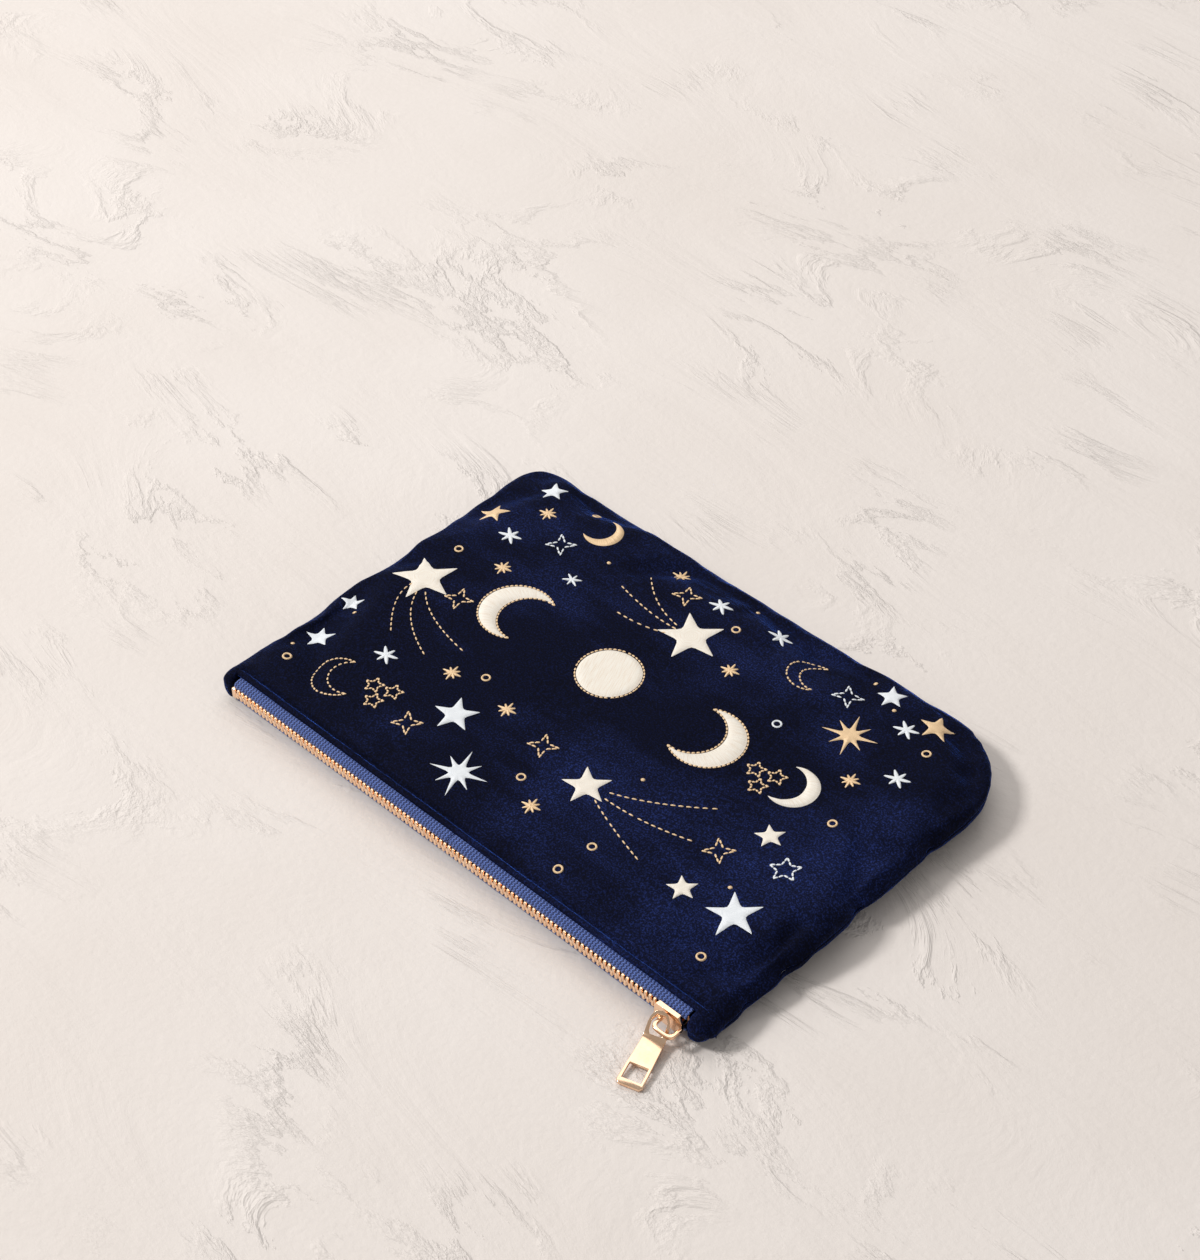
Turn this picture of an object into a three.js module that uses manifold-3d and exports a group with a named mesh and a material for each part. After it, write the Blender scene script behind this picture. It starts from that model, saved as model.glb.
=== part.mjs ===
// A flat velvet zip pouch with a quilted filling, a metal zip and raised embroidery.
// Millimetres, +Z up. X runs along the zip towards its closed end, Y from the zip to the
// bottom seam, and the origin is the centre of the flat back that the pouch lies on.
import * as THREE from 'three';
import { mergeVertices } from 'three/addons/utils/BufferGeometryUtils.js';
import Module from 'manifold-3d';

const wasm = await Module();
wasm.setup();

// ---- driving dimensions ----
const GAP = 0.3; // between pieces that touch
const HALF_WIDTH_MOUTH = 121.5;
const HALF_WIDTH_BASE = 124;
const BASE_Y = 85; // bottom seam
const MOUTH_Y = -79.5; // turned edge of the velvet along the zip
const CORNER_RADIUS_LEFT = 14; // bottom corner at the zip's open end
const CORNER_RADIUS_RIGHT = 38; // bottom corner at its closed end
const SEAM_Z = 6; // height of the seam between front and back
const FRONT_RISE = 7.5; // from the seam to the top of the front
const EDGE_ROUND = 12; // how far in from the seam the faces become flat

const VELVET = 1;
const WADDING = 1.4;
const LINING = 0.5;
const WADDING_EDGE_Y = -70.5; // the wadding stops short of the zip's seam

const CHAIN_Y = -85; // plane of the two rows of teeth
const CHAIN_Z = 6.6; // where the rows mesh
const CHAIN_HALF_HEIGHT = 2.3;
const CHAIN_THICKNESS = 2;
const BEAD_HEIGHT = 1;
const TOOTH_PITCH = 2.05;
const TOOTH_WIDTH = 0.7;
const TOOTH_OVERLAP = 0.8; // how deep the two rows mesh
const TOOTH_COUNT = 103;
const CHAIN_START_X = -110.6;
const STOP_LENGTH = 2;
const STOP_THICKNESS = 1.2;

const TAPE_THICKNESS = 0.7;
const TAPE_RISE_FRONT = 2.1; // from the teeth up to the flat of the tape
const TAPE_RISE_BACK = 2.05;
const TAPE_START_X = -112.5;
const TAPE_END_X = 111.3;
const TAPE_INNER_Y = -71; // tape edge sewn between velvet and lining

const SLIDER_LENGTH = 12;
const SLIDER_START_X = 99;
const SLIDER_HALF_HEIGHT = 4;
const PLATE = 1;
const PLATE_TAPER = 0.4; // the plates are narrower at the end where the meshed rows leave
const PLATE_START_CUT = 0.8; // their corners there, along X
const PLATE_START_DROP = 1.2; // and along Z
const PLATE_END_CUT = 1.6;
const PLATE_END_DROP = 1.8;
const CHANNEL = 3; // clear width between the slider's plates
const FLANGE_HEIGHT = 0.7;
const FLANGE_DEPTH = 0.8;
const FLANGE_START = 1; // from the plates' ends
const FLANGE_END = 1.8;
const NECK_HEIGHT = 2;
const NECK_SETBACK = 0.8;
const NECK_LENGTH = 4.6;
const NECK_POINT = 1.8; // length of the wedge that parts the rows

const CROWN_HALF_LENGTH = 4.6;
const CROWN_BAND = 1.2;
const CROWN_HEIGHT = 1.4;
const CROWN_REACH = 6; // how far the arch stands out from its feet
const CROWN_SHOULDER = 2.4; // where the legs begin to turn over
const CROWN_SHIFT = 2.4; // the crown sits towards the closed end of the slider

const PULL_THICKNESS = 1.1;
const PULL_HEAD_WIDTH = 7.9;
const PULL_TIP_WIDTH = 9.4;
const PULL_YAW = 17.5; // degrees that the pull lies over towards the closed end
const PULL_PIVOT_Y = -90.9;
const PULL_OFFSET = 1; // from the crown's leg to the middle of the slot
const PULL_LENGTH = 26; // seen from above
const PULL_HEAD_END = 2.45; // from the crown's leg back to the pull's head
const PULL_CORNER = 1;
const SLOT_HALF_WIDTH = 2.75;
const SLOT_START = -1.5;
const SLOT_END = 3.25;
const SLOT_CORNER = 0.75;
const WINDOW_START = 15.2;
const WINDOW_END = 21.3;
const WINDOW_HALF_START = 3.3;
const WINDOW_HALF_END = 3.5;

const TAB_LOW = 1.2; // velvet tabs over the two ends of the zip
const TAB_HIGH = 12.4;
const TAB_ROUND = 2.4;
const TAB_PAST_CHAIN = 1;

const STITCH_HEIGHT = 0.8; // how far the embroidery stands up

// ---- worked out from them ----
const FRONT_TOP_Z = SEAM_Z + FRONT_RISE;
const SLIDER_END_X = SLIDER_START_X + SLIDER_LENGTH;
const OUTER_PLATE_Y = CHAIN_Y - CHANNEL / 2;
const INNER_PLATE_Y = CHAIN_Y + CHANNEL / 2;
const CROWN_X = (SLIDER_START_X + SLIDER_END_X) / 2 + CROWN_SHIFT;
const CROWN_FOOT_Y = OUTER_PLATE_Y - PLATE - GAP;
const PULL_PIVOT_X = CROWN_X - CROWN_HALF_LENGTH + CROWN_BAND / 2;

// ---- finishes ----
const finish = (color, roughness, metalness) => () =>
  new THREE.MeshStandardMaterial({ color, roughness, metalness });
const velvetFinish = finish(0x131638, 0.9, 0);
const waddingFinish = finish(0xe8e6e0, 1, 0);
const liningFinish = finish(0x1c2350, 0.7, 0);
const tapeFinish = finish(0x465fa8, 0.75, 0);
const metalFinish = finish(0xf0be82, 0.25, 1);
const goldThread = finish(0xe8bf8c, 0.5, 0.2);
const silverThread = finish(0xe4ebf5, 0.5, 0.1);

// ---- helpers ----
const pouch = new THREE.Group();

function addPiece(name, geometry, material, parent = pouch) {
  const piece = new THREE.Mesh(geometry, material());
  piece.name = name;
  parent.add(piece);
  return piece;
}

function toSolid(geometry) {
  const plain = geometry.clone();
  plain.deleteAttribute('normal');
  plain.deleteAttribute('uv');
  const merged = mergeVertices(plain, 1e-4);
  return new wasm.Manifold(
    new wasm.Mesh({
      numProp: 3,
      vertProperties: new Float32Array(merged.attributes.position.array),
      triVerts: new Uint32Array(merged.index.array),
    }),
  );
}

function toGeometry(solid) {
  const mesh = solid.getMesh();
  const geometry = new THREE.BufferGeometry();
  geometry.setAttribute('position', new THREE.BufferAttribute(mesh.vertProperties, 3));
  geometry.setIndex(new THREE.BufferAttribute(mesh.triVerts, 1));
  geometry.computeVertexNormals();
  return geometry;
}

function block(x0, x1, y0, y1, z0, z1) {
  const geometry = new THREE.BoxGeometry(x1 - x0, y1 - y0, z1 - z0);
  return geometry.translate((x0 + x1) / 2, (y0 + y1) / 2, (z0 + z1) / 2);
}

function shapeOf(points) {
  return new THREE.Shape(points.map(([x, y]) => new THREE.Vector2(x, y)));
}

// a shape drawn in Y and Z, pushed along X
function alongX(shape, x0, x1) {
  const geometry = new THREE.ExtrudeGeometry(shape, { depth: x1 - x0, bevelEnabled: false });
  const turn = new THREE.Matrix4().makeBasis(
    new THREE.Vector3(0, 1, 0),
    new THREE.Vector3(0, 0, 1),
    new THREE.Vector3(1, 0, 0),
  );
  return geometry.applyMatrix4(turn).translate(x0, 0, 0);
}

// a shape drawn in X and Z, pushed along Y
function alongY(shape, y0, y1) {
  const geometry = new THREE.ExtrudeGeometry(shape, { depth: y1 - y0, bevelEnabled: false });
  return geometry.rotateX(Math.PI / 2).translate(0, y1, 0);
}

// a shape drawn in X and Y, pushed along Z
function alongZ(shape, z0, z1) {
  const geometry = new THREE.ExtrudeGeometry(shape, { depth: z1 - z0, bevelEnabled: false });
  return geometry.translate(0, 0, z0);
}

// ---- the fabric panels ----
const PAST_MOUTH = 30; // the outline runs on past the mouth, and is cut off there
const STRAIGHT = 10; // straight wall below the round edge, cut off at the seam

function pouchOutline(inset, left, right) {
  const top = BASE_Y - inset;
  const base = HALF_WIDTH_BASE - inset;
  const mouth = HALF_WIDTH_MOUTH - inset;
  const shape = new THREE.Shape();
  shape.moveTo(-mouth, MOUTH_Y - PAST_MOUTH);
  shape.lineTo(mouth, MOUTH_Y - PAST_MOUTH);
  shape.lineTo(base, BASE_Y - right);
  shape.absarc(HALF_WIDTH_BASE - right, BASE_Y - right, right - inset, 0, Math.PI / 2);
  shape.lineTo(left - HALF_WIDTH_BASE, top);
  shape.absarc(left - HALF_WIDTH_BASE, BASE_Y - left, left - inset, Math.PI / 2, Math.PI);
  return shape;
}

// the space under a face: a slab with a rounded edge, smaller all round by the inset
function dome(inset, rise, left, right) {
  const round = EDGE_ROUND - inset;
  return new THREE.ExtrudeGeometry(pouchOutline(inset, left, right), {
    depth: STRAIGHT,
    curveSegments: 7,
    bevelSegments: 5,
    bevelSize: round,
    bevelOffset: -round,
    bevelThickness: rise - inset,
  }).translate(0, 0, -STRAIGHT);
}

// one layer of the front or the back, between two depths under its outer face
function panel(depth, thickness, side, mouthY) {
  const rise = side > 0 ? FRONT_RISE : SEAM_Z;
  // the back is turned over once it is made, which swaps its corners
  const corners = [CORNER_RADIUS_LEFT, CORNER_RADIUS_RIGHT];
  if (side < 0) corners.reverse();
  const outside = toSolid(dome(depth, rise, ...corners));
  const layer = outside.subtract(toSolid(dome(depth + thickness, rise, ...corners)));
  const reach = 200;
  const keep = toSolid(block(-reach, reach, mouthY, reach, GAP / 2, reach));
  const geometry = toGeometry(layer.intersect(keep));
  if (side < 0) geometry.rotateY(Math.PI);
  return geometry.translate(0, 0, SEAM_Z);
}

function addPanels() {
  const layers = [
    ['velvet', 0, VELVET, MOUTH_Y, velvetFinish],
    ['wadding', VELVET + GAP, WADDING, WADDING_EDGE_Y, waddingFinish],
    ['lining', VELVET + WADDING + 2 * GAP, LINING, MOUTH_Y, liningFinish],
  ];
  for (const [name, depth, thickness, mouthY, material] of layers) {
    addPiece(`${name}_front`, panel(depth, thickness, 1, mouthY), material);
    addPiece(`${name}_back`, panel(depth, thickness, -1, mouthY), material);
  }
}

// ---- the zip ----
// a strip of even thickness along a route drawn in one plane
function strip(route, thickness) {
  const left = [];
  const right = [];
  route.forEach(([u, v], i) => {
    const before = route[Math.max(i - 1, 0)];
    const after = route[Math.min(i + 1, route.length - 1)];
    const du = after[0] - before[0];
    const dv = after[1] - before[1];
    const half = thickness / 2 / Math.hypot(du, dv);
    left.push([u - dv * half, v + du * half]);
    right.unshift([u + dv * half, v - du * half]);
  });
  return shapeOf([...left, ...right]);
}

function addTapes() {
  const top = CHAIN_Z + CHAIN_HALF_HEIGHT + GAP;
  const bottom = CHAIN_Z - CHAIN_HALF_HEIGHT - GAP;
  const front = [
    [CHAIN_Y, top],
    [CHAIN_Y, top + TAPE_RISE_FRONT - 0.6],
    [CHAIN_Y + 0.5, top + TAPE_RISE_FRONT - 0.15],
    [CHAIN_Y + 1.6, top + TAPE_RISE_FRONT],
    [TAPE_INNER_Y, top + TAPE_RISE_FRONT],
  ];
  const back = [
    [CHAIN_Y, bottom],
    [CHAIN_Y, bottom - TAPE_RISE_BACK + 0.75],
    [CHAIN_Y + 0.4, bottom - TAPE_RISE_BACK + 0.2],
    [CHAIN_Y + 1.2, bottom - TAPE_RISE_BACK],
    [TAPE_INNER_Y, bottom - TAPE_RISE_BACK],
  ];
  for (const [name, route] of [['front', front], ['back', back]]) {
    const tape = alongX(strip(route, TAPE_THICKNESS), TAPE_START_X, TAPE_END_X);
    addPiece(`zip_tape_${name}`, tape, tapeFinish);
  }
}

// a comb of teeth on the bead that holds them, for the front row or the back row
function toothRow(side) {
  const base = CHAIN_Z + side * CHAIN_HALF_HEIGHT;
  const bead = base - side * BEAD_HEIGHT;
  const tip = CHAIN_Z - side * (TOOTH_OVERLAP / 2);
  const start = CHAIN_START_X + (side > 0 ? TOOTH_PITCH / 2 : 0);
  const end = start + (TOOTH_COUNT - 1) * TOOTH_PITCH + TOOTH_WIDTH;
  const outline = [[end, base], [start, base]];
  for (let i = 0; i < TOOTH_COUNT; i += 1) {
    const x = start + i * TOOTH_PITCH;
    outline.push([x, tip], [x + TOOTH_WIDTH, tip]);
    if (i < TOOTH_COUNT - 1) outline.push([x + TOOTH_WIDTH, bead], [x + TOOTH_PITCH, bead]);
  }
  const half = CHAIN_THICKNESS / 2;
  return alongY(shapeOf(outline), CHAIN_Y - half, CHAIN_Y + half);
}

function addChain() {
  addPiece('tooth_row_front', toothRow(1), metalFinish);
  addPiece('tooth_row_back', toothRow(-1), metalFinish);
  const half = CHAIN_THICKNESS / 2 + 0.1;
  const start = CHAIN_START_X - GAP;
  const bottomStop = block(
    start - STOP_LENGTH, start,
    CHAIN_Y - half, CHAIN_Y + half,
    CHAIN_Z - CHAIN_HALF_HEIGHT, CHAIN_Z + CHAIN_HALF_HEIGHT,
  );
  addPiece('bottom_stop', bottomStop, metalFinish);
  const stopX = CHAIN_START_X + (TOOTH_COUNT + 0.5) * TOOTH_PITCH;
  const stopEnd = stopX + STOP_LENGTH;
  const thin = STOP_THICKNESS / 2;
  for (const [name, side] of [['front', 1], ['back', -1]]) {
    const low = CHAIN_Z + side * (NECK_HEIGHT / 2 + GAP);
    const high = CHAIN_Z + side * CHAIN_HALF_HEIGHT;
    const [z0, z1] = [Math.min(low, high), Math.max(low, high)];
    const stop = block(stopX, stopEnd, CHAIN_Y - thin, CHAIN_Y + thin, z0, z1);
    addPiece(`top_stop_${name}`, stop, metalFinish);
  }
}

// ---- slider, crown and pull ----
function plateShape() {
  const x0 = SLIDER_START_X;
  const x1 = SLIDER_END_X;
  const wide = SLIDER_HALF_HEIGHT;
  const narrow = wide - PLATE_TAPER;
  return shapeOf([
    [x0 + PLATE_START_CUT, CHAIN_Z - narrow],
    [x1 - PLATE_END_CUT, CHAIN_Z - wide],
    [x1, CHAIN_Z - wide + PLATE_END_DROP],
    [x1, CHAIN_Z + wide - PLATE_END_DROP],
    [x1 - PLATE_END_CUT, CHAIN_Z + wide],
    [x0 + PLATE_START_CUT, CHAIN_Z + narrow],
    [x0, CHAIN_Z + narrow - PLATE_START_DROP],
    [x0, CHAIN_Z - narrow + PLATE_START_DROP],
  ]);
}

function neckShape() {
  const half = NECK_HEIGHT / 2;
  const x1 = SLIDER_END_X - NECK_SETBACK;
  const x0 = x1 - NECK_LENGTH;
  return shapeOf([
    [x0, CHAIN_Z],
    [x0 + NECK_POINT, CHAIN_Z - half],
    [x1, CHAIN_Z - half],
    [x1, CHAIN_Z + half],
    [x0 + NECK_POINT, CHAIN_Z + half],
  ]);
}

function addSlider() {
  const shape = plateShape();
  const neck = alongY(neckShape(), OUTER_PLATE_Y - PLATE / 2, INNER_PLATE_Y + PLATE / 2);
  let slider = toSolid(alongY(shape, OUTER_PLATE_Y - PLATE, OUTER_PLATE_Y));
  slider = slider.add(toSolid(alongY(shape, INNER_PLATE_Y, INNER_PLATE_Y + PLATE)));
  slider = slider.add(toSolid(neck));
  for (const side of [1, -1]) {
    const edge = CHAIN_Z + side * (SLIDER_HALF_HEIGHT - PLATE_TAPER);
    const low = Math.min(edge, edge - side * FLANGE_HEIGHT);
    const x0 = SLIDER_START_X + FLANGE_START;
    const x1 = SLIDER_END_X - FLANGE_END;
    const high = low + FLANGE_HEIGHT;
    const outer = block(x0, x1, OUTER_PLATE_Y - PLATE / 2, OUTER_PLATE_Y + FLANGE_DEPTH, low, high);
    const inner = block(x0, x1, INNER_PLATE_Y - FLANGE_DEPTH, INNER_PLATE_Y + PLATE / 2, low, high);
    slider = slider.add(toSolid(outer)).add(toSolid(inner));
  }
  addPiece('slider_body', toGeometry(slider), metalFinish);
}

// an arch that stands out from the slider's outer plate
function addCrown() {
  const arch = (half, reach) => {
    const shape = new THREE.Shape();
    const shoulder = CROWN_FOOT_Y - reach + CROWN_SHOULDER;
    shape.moveTo(CROWN_X + half, CROWN_FOOT_Y);
    shape.lineTo(CROWN_X - half, CROWN_FOOT_Y);
    shape.lineTo(CROWN_X - half, shoulder);
    shape.bezierCurveTo(
      CROWN_X - half, CROWN_FOOT_Y - reach, CROWN_X - half * 0.6, CROWN_FOOT_Y - reach,
      CROWN_X, CROWN_FOOT_Y - reach,
    );
    shape.bezierCurveTo(
      CROWN_X + half * 0.6, CROWN_FOOT_Y - reach, CROWN_X + half, CROWN_FOOT_Y - reach,
      CROWN_X + half, shoulder,
    );
    return shape;
  };
  const low = CHAIN_Z - CROWN_HEIGHT / 2;
  const high = CHAIN_Z + CROWN_HEIGHT / 2;
  const whole = new THREE.ExtrudeGeometry(arch(CROWN_HALF_LENGTH, CROWN_REACH), {
    depth: high - low, bevelEnabled: false, curveSegments: 6,
  }).translate(0, 0, low);
  const inside = new THREE.ExtrudeGeometry(
    arch(CROWN_HALF_LENGTH - CROWN_BAND, CROWN_REACH - CROWN_BAND),
    { depth: 4, bevelEnabled: false, curveSegments: 6 },
  ).translate(0, 0, CHAIN_Z - 2);
  const past = toSolid(block(
    CROWN_X - CROWN_HALF_LENGTH + CROWN_BAND, CROWN_X + CROWN_HALF_LENGTH - CROWN_BAND,
    CROWN_FOOT_Y - 0.5, CROWN_FOOT_Y + 1, CHAIN_Z - 2, CHAIN_Z + 2,
  ));
  const crown = toSolid(whole).subtract(toSolid(inside)).subtract(past);
  addPiece('slider_crown', toGeometry(crown), metalFinish);
}

// The pull hangs by its slot from one leg of the crown and lies out on the surface. Its
// side view is a gentle S; here u runs outwards from the leg and v is the height.
function addPull() {
  const curve = new THREE.SplineCurve([
    new THREE.Vector2(-3.4, 10.5),
    new THREE.Vector2(0, 6.6),
    new THREE.Vector2(2.6, 3.7),
    new THREE.Vector2(5, 2.45),
    new THREE.Vector2(10, 1.9),
    new THREE.Vector2(16.5, 1.6),
    new THREE.Vector2(24.5, 0.75),
  ]);
  const side = strip(curve.getPoints(26).map((p) => [p.x, p.y]), PULL_THICKNESS);
  const bar = toSolid(alongX(side, -PULL_TIP_WIDTH, PULL_TIP_WIDTH));

  const head = PULL_HEAD_WIDTH / 2;
  const tip = PULL_TIP_WIDTH / 2;
  const corner = PULL_CORNER;
  const headEnd = -PULL_HEAD_END;
  const length = PULL_LENGTH - PULL_HEAD_END;
  const plan = new THREE.Shape();
  plan.moveTo(-tip, length - corner);
  plan.lineTo(-tip + corner, length);
  plan.lineTo(tip - corner, length);
  plan.lineTo(tip, length - corner);
  plan.lineTo(head + 0.1, 8);
  plan.lineTo(head, 2.2);
  plan.bezierCurveTo(head, headEnd + 1.2, head * 0.6, headEnd, 0, headEnd);
  plan.bezierCurveTo(-head * 0.6, headEnd, -head, headEnd + 1.2, -head, 2.2);
  plan.lineTo(-head - 0.1, 8);
  // the two holes run the other way round from the outline
  const slot = new THREE.Path([
    new THREE.Vector2(-SLOT_HALF_WIDTH, SLOT_START + 1.3),
    new THREE.Vector2(-SLOT_HALF_WIDTH + 1.15, SLOT_START),
    new THREE.Vector2(SLOT_HALF_WIDTH - 1.15, SLOT_START),
    new THREE.Vector2(SLOT_HALF_WIDTH, SLOT_START + 1.3),
    new THREE.Vector2(SLOT_HALF_WIDTH, SLOT_END - 1.05),
    new THREE.Vector2(SLOT_HALF_WIDTH - SLOT_CORNER, SLOT_END),
    new THREE.Vector2(-SLOT_HALF_WIDTH + SLOT_CORNER, SLOT_END),
    new THREE.Vector2(-SLOT_HALF_WIDTH, SLOT_END - 1.05),
  ]);
  const window = new THREE.Path([
    new THREE.Vector2(WINDOW_HALF_START, WINDOW_START),
    new THREE.Vector2(WINDOW_HALF_END, WINDOW_END),
    new THREE.Vector2(-WINDOW_HALF_END, WINDOW_END),
    new THREE.Vector2(-WINDOW_HALF_START, WINDOW_START),
  ]);
  plan.holes.push(slot, window);
  const outline = toSolid(
    new THREE.ExtrudeGeometry(plan, { depth: 20, bevelEnabled: false, curveSegments: 6 })
      .translate(0, 0, -2),
  );
  const geometry = toGeometry(bar.intersect(outline)).translate(-PULL_OFFSET, 0, 0);
  const hanger = new THREE.Group();
  hanger.position.set(PULL_PIVOT_X, PULL_PIVOT_Y, 0);
  hanger.rotation.z = Math.PI + THREE.MathUtils.degToRad(PULL_YAW);
  addPiece('pull_tab', geometry, metalFinish, hanger);
  pouch.add(hanger);
}

// ---- velvet tabs over the two ends of the zip ----
function addEndTabs() {
  const y0 = CHAIN_Y - TAB_PAST_CHAIN;
  const y1 = MOUTH_Y - GAP;
  const tabs = [
    ['end_tab_right', TAPE_END_X + GAP, HALF_WIDTH_MOUTH - 0.4],
    ['end_tab_left', -HALF_WIDTH_MOUTH + 0.4, CHAIN_START_X - STOP_LENGTH - 2 * GAP],
  ];
  for (const [name, x0, x1] of tabs) {
    const section = shapeOf([
      [y0 + TAB_ROUND, TAB_LOW],
      [y1, TAB_LOW],
      [y1, TAB_HIGH],
      [y0 + TAB_ROUND, TAB_HIGH],
      [y0 + TAB_ROUND / 4, TAB_HIGH - TAB_ROUND / 2],
      [y0, TAB_HIGH - TAB_ROUND * 1.25],
      [y0, TAB_LOW + TAB_ROUND * 1.25],
      [y0 + TAB_ROUND / 4, TAB_LOW + TAB_ROUND / 2],
    ]);
    addPiece(name, alongX(section, x0, x1), velvetFinish);
  }
}

// ---- embroidery on the front ----
function starShape(x, y, outer, inner, points, turn) {
  const corners = [];
  for (let i = 0; i < 2 * points; i += 1) {
    const radius = i % 2 ? inner : outer;
    const angle = THREE.MathUtils.degToRad(turn) + (i * Math.PI) / points;
    corners.push([x + radius * Math.cos(angle), y + radius * Math.sin(angle)]);
  }
  return shapeOf(corners);
}

// a moon cut by the shadow of a second circle, which is moved along the given direction
function crescentShape(x, y, radius, shade, offset, direction) {
  const turn = THREE.MathUtils.degToRad(direction);
  const meet = (radius ** 2 - shade ** 2 + offset ** 2) / (2 * offset);
  const outer = Math.acos(meet / radius);
  const inner = Math.acos((meet - offset) / shade);
  const shape = new THREE.Shape();
  shape.absarc(x, y, radius, turn + outer, turn - outer + 2 * Math.PI, false);
  const sx = x + offset * Math.cos(turn);
  const sy = y + offset * Math.sin(turn);
  shape.absarc(sx, sy, shade, turn - inner, turn + inner - 2 * Math.PI, true);
  return shape;
}

function addEmbroidery() {
  const low = FRONT_TOP_Z + GAP;
  const motif = (name, shape, material) => {
    const geometry = new THREE.ExtrudeGeometry(shape, {
      depth: STITCH_HEIGHT, bevelEnabled: false, curveSegments: 10,
    });
    addPiece(`embroidery_${name}`, geometry.translate(0, 0, low), material);
  };
  const moonY = 11;
  motif('moon_left', crescentShape(-62, moonY, 14.5, 12.5, 7, 0), goldThread);
  const disc = new THREE.Shape().absarc(-14, moonY, 13, 0, 2 * Math.PI);
  motif('moon_full', disc, goldThread);
  motif('moon_right', crescentShape(34, moonY, 14.5, 12.5, 7, 180), goldThread);
  motif('comet_left', starShape(-101, 1, 14, 5.6, 5, 66), silverThread);
  motif('comet_base', starShape(-5.4, 46, 14, 5.6, 5, 62), silverThread);
  motif('comet_mouth', starShape(19, -35.5, 9.5, 4, 5, 60), silverThread);
  motif('star_left', starShape(-39.5, -42.5, 9, 3.6, 5, 50), silverThread);
  motif('star_corner', starShape(96, -45, 11, 4.2, 5, 58), silverThread);
  motif('burst_silver', starShape(-18, -62, 13, 3.4, 8, 20), silverThread);
  motif('burst_gold', starShape(70, 47, 12, 3, 8, 20), goldThread);
  motif('crescent_gold', crescentShape(-69.5, 66.5, 8, 6.8, 3.6, 165), goldThread);
  motif('crescent_cream', crescentShape(71.7, 13.7, 10, 8.6, 4.6, 186), goldThread);
}

addPanels();
addTapes();
addChain();
addSlider();
addCrown();
addPull();
addEndTabs();
addEmbroidery();

export default pouch;
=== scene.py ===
import math
from functools import partial

import bmesh
import bpy
from mathutils import Matrix, Vector, noise
from mathutils.bvhtree import BVHTree


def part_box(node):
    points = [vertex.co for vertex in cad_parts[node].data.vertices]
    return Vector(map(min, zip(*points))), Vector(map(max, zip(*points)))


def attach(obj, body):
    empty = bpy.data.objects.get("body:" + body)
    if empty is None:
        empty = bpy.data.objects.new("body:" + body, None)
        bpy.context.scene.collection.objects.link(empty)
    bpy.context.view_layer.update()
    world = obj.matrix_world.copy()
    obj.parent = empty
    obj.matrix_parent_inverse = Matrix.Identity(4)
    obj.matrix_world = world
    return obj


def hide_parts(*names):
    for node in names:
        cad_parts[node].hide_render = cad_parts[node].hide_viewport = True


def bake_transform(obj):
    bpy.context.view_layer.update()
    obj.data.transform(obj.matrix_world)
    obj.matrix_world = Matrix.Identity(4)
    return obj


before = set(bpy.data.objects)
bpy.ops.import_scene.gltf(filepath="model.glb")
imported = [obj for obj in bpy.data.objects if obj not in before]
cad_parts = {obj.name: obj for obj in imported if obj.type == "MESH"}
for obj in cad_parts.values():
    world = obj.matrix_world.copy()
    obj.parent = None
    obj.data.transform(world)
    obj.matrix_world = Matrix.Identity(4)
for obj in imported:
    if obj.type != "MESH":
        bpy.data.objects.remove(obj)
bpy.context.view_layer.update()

bl_info = {
    "name": "Velvet zip pouch",
    "version": (1, 0, 0),
    "blender": (4, 5, 0),
    "location": "3D View > Sidebar > Pouch",
    "description": "Builds the fabric, zip and embroidery of a flat velvet pouch around its frame",
    "category": "Add Mesh",
}

MM = 0.001
VELVET_LOW, VELVET_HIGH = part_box("velvet_front")
MOUTH_Y = VELVET_LOW.y
BASE_Y = VELVET_HIGH.y
HALF_WIDTH = VELVET_HIGH.x
TOP_Z = VELVET_HIGH.z
SEAM_Z = 6 * MM
CORNER_RADIUS_LEFT = 14 * MM
CORNER_RADIUS_RIGHT = 38 * MM
FOLD_Y = MOUTH_Y - 2.2 * MM  # the velvet's turned edge lies over the tape
EDGE_ROLL = 1.2 * MM  # radius of that turned edge
GROOVE_FROM_EDGE = 3.3 * MM  # the line of stitches beside it
GROOVE_HALF_WIDTH = 0.7 * MM
GROOVE_DEPTH = 1.5 * MM
SIDE_LIFT = 3.6 * MM  # how far the closed side's edge curls up, and out
SIDE_SPREAD = 1.6 * MM
MOUTH_NARROWER = 2.5 * MM  # the side seams lean in a little towards the zip
ROW_LOW, ROW_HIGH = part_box("tooth_row_front")
CHAIN_Y = (ROW_LOW.y + ROW_HIGH.y) / 2
CHAIN_Z = 6.6 * MM
TOOTH_PITCH = 2.05 * MM
TOOTH_COUNT = 103
THREAD_PITCH = 0.42 * MM  # between the threads of satin stitch
SUNK = 0.12  # mm that embroidery lies below the velvet's pile

VECTOR, COLOR, FLOAT = "NodeSocketVector", "NodeSocketColor", "NodeSocketFloat"
BLACK, WHITE = (0, 0, 0, 1), (1, 1, 1, 1)

surface = {}  # the pouch's simulated form, and the tree that embroidery is laid on


# ---------------------------------------------------------------- helpers
def linked_object(name, bm):
    """A new object at the origin with the bmesh's shape."""
    mesh = bpy.data.meshes.new(name)
    bm.to_mesh(mesh)
    bm.free()
    made = bpy.data.objects.new(name, mesh)
    bpy.context.scene.collection.objects.link(made)
    return made


def finish_piece(piece, material_name, slot):
    """Smooth faces, one material, and the record slot that the finish comes from."""
    for polygon in piece.data.polygons:
        polygon.use_smooth = True
    piece.data.materials.clear()
    piece.data.materials.append(bpy.data.materials[material_name])
    return piece


def new_piece(name, bm, material_name, slot):
    """A finished piece from a bmesh, its faces turned outwards."""
    bmesh.ops.recalc_face_normals(bm, faces=bm.faces)
    return finish_piece(linked_object(name, bm), material_name, slot)


def soften(piece, levels):
    soft = piece.modifiers.new("Soft", "SUBSURF")
    soft.levels = soft.render_levels = levels


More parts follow.
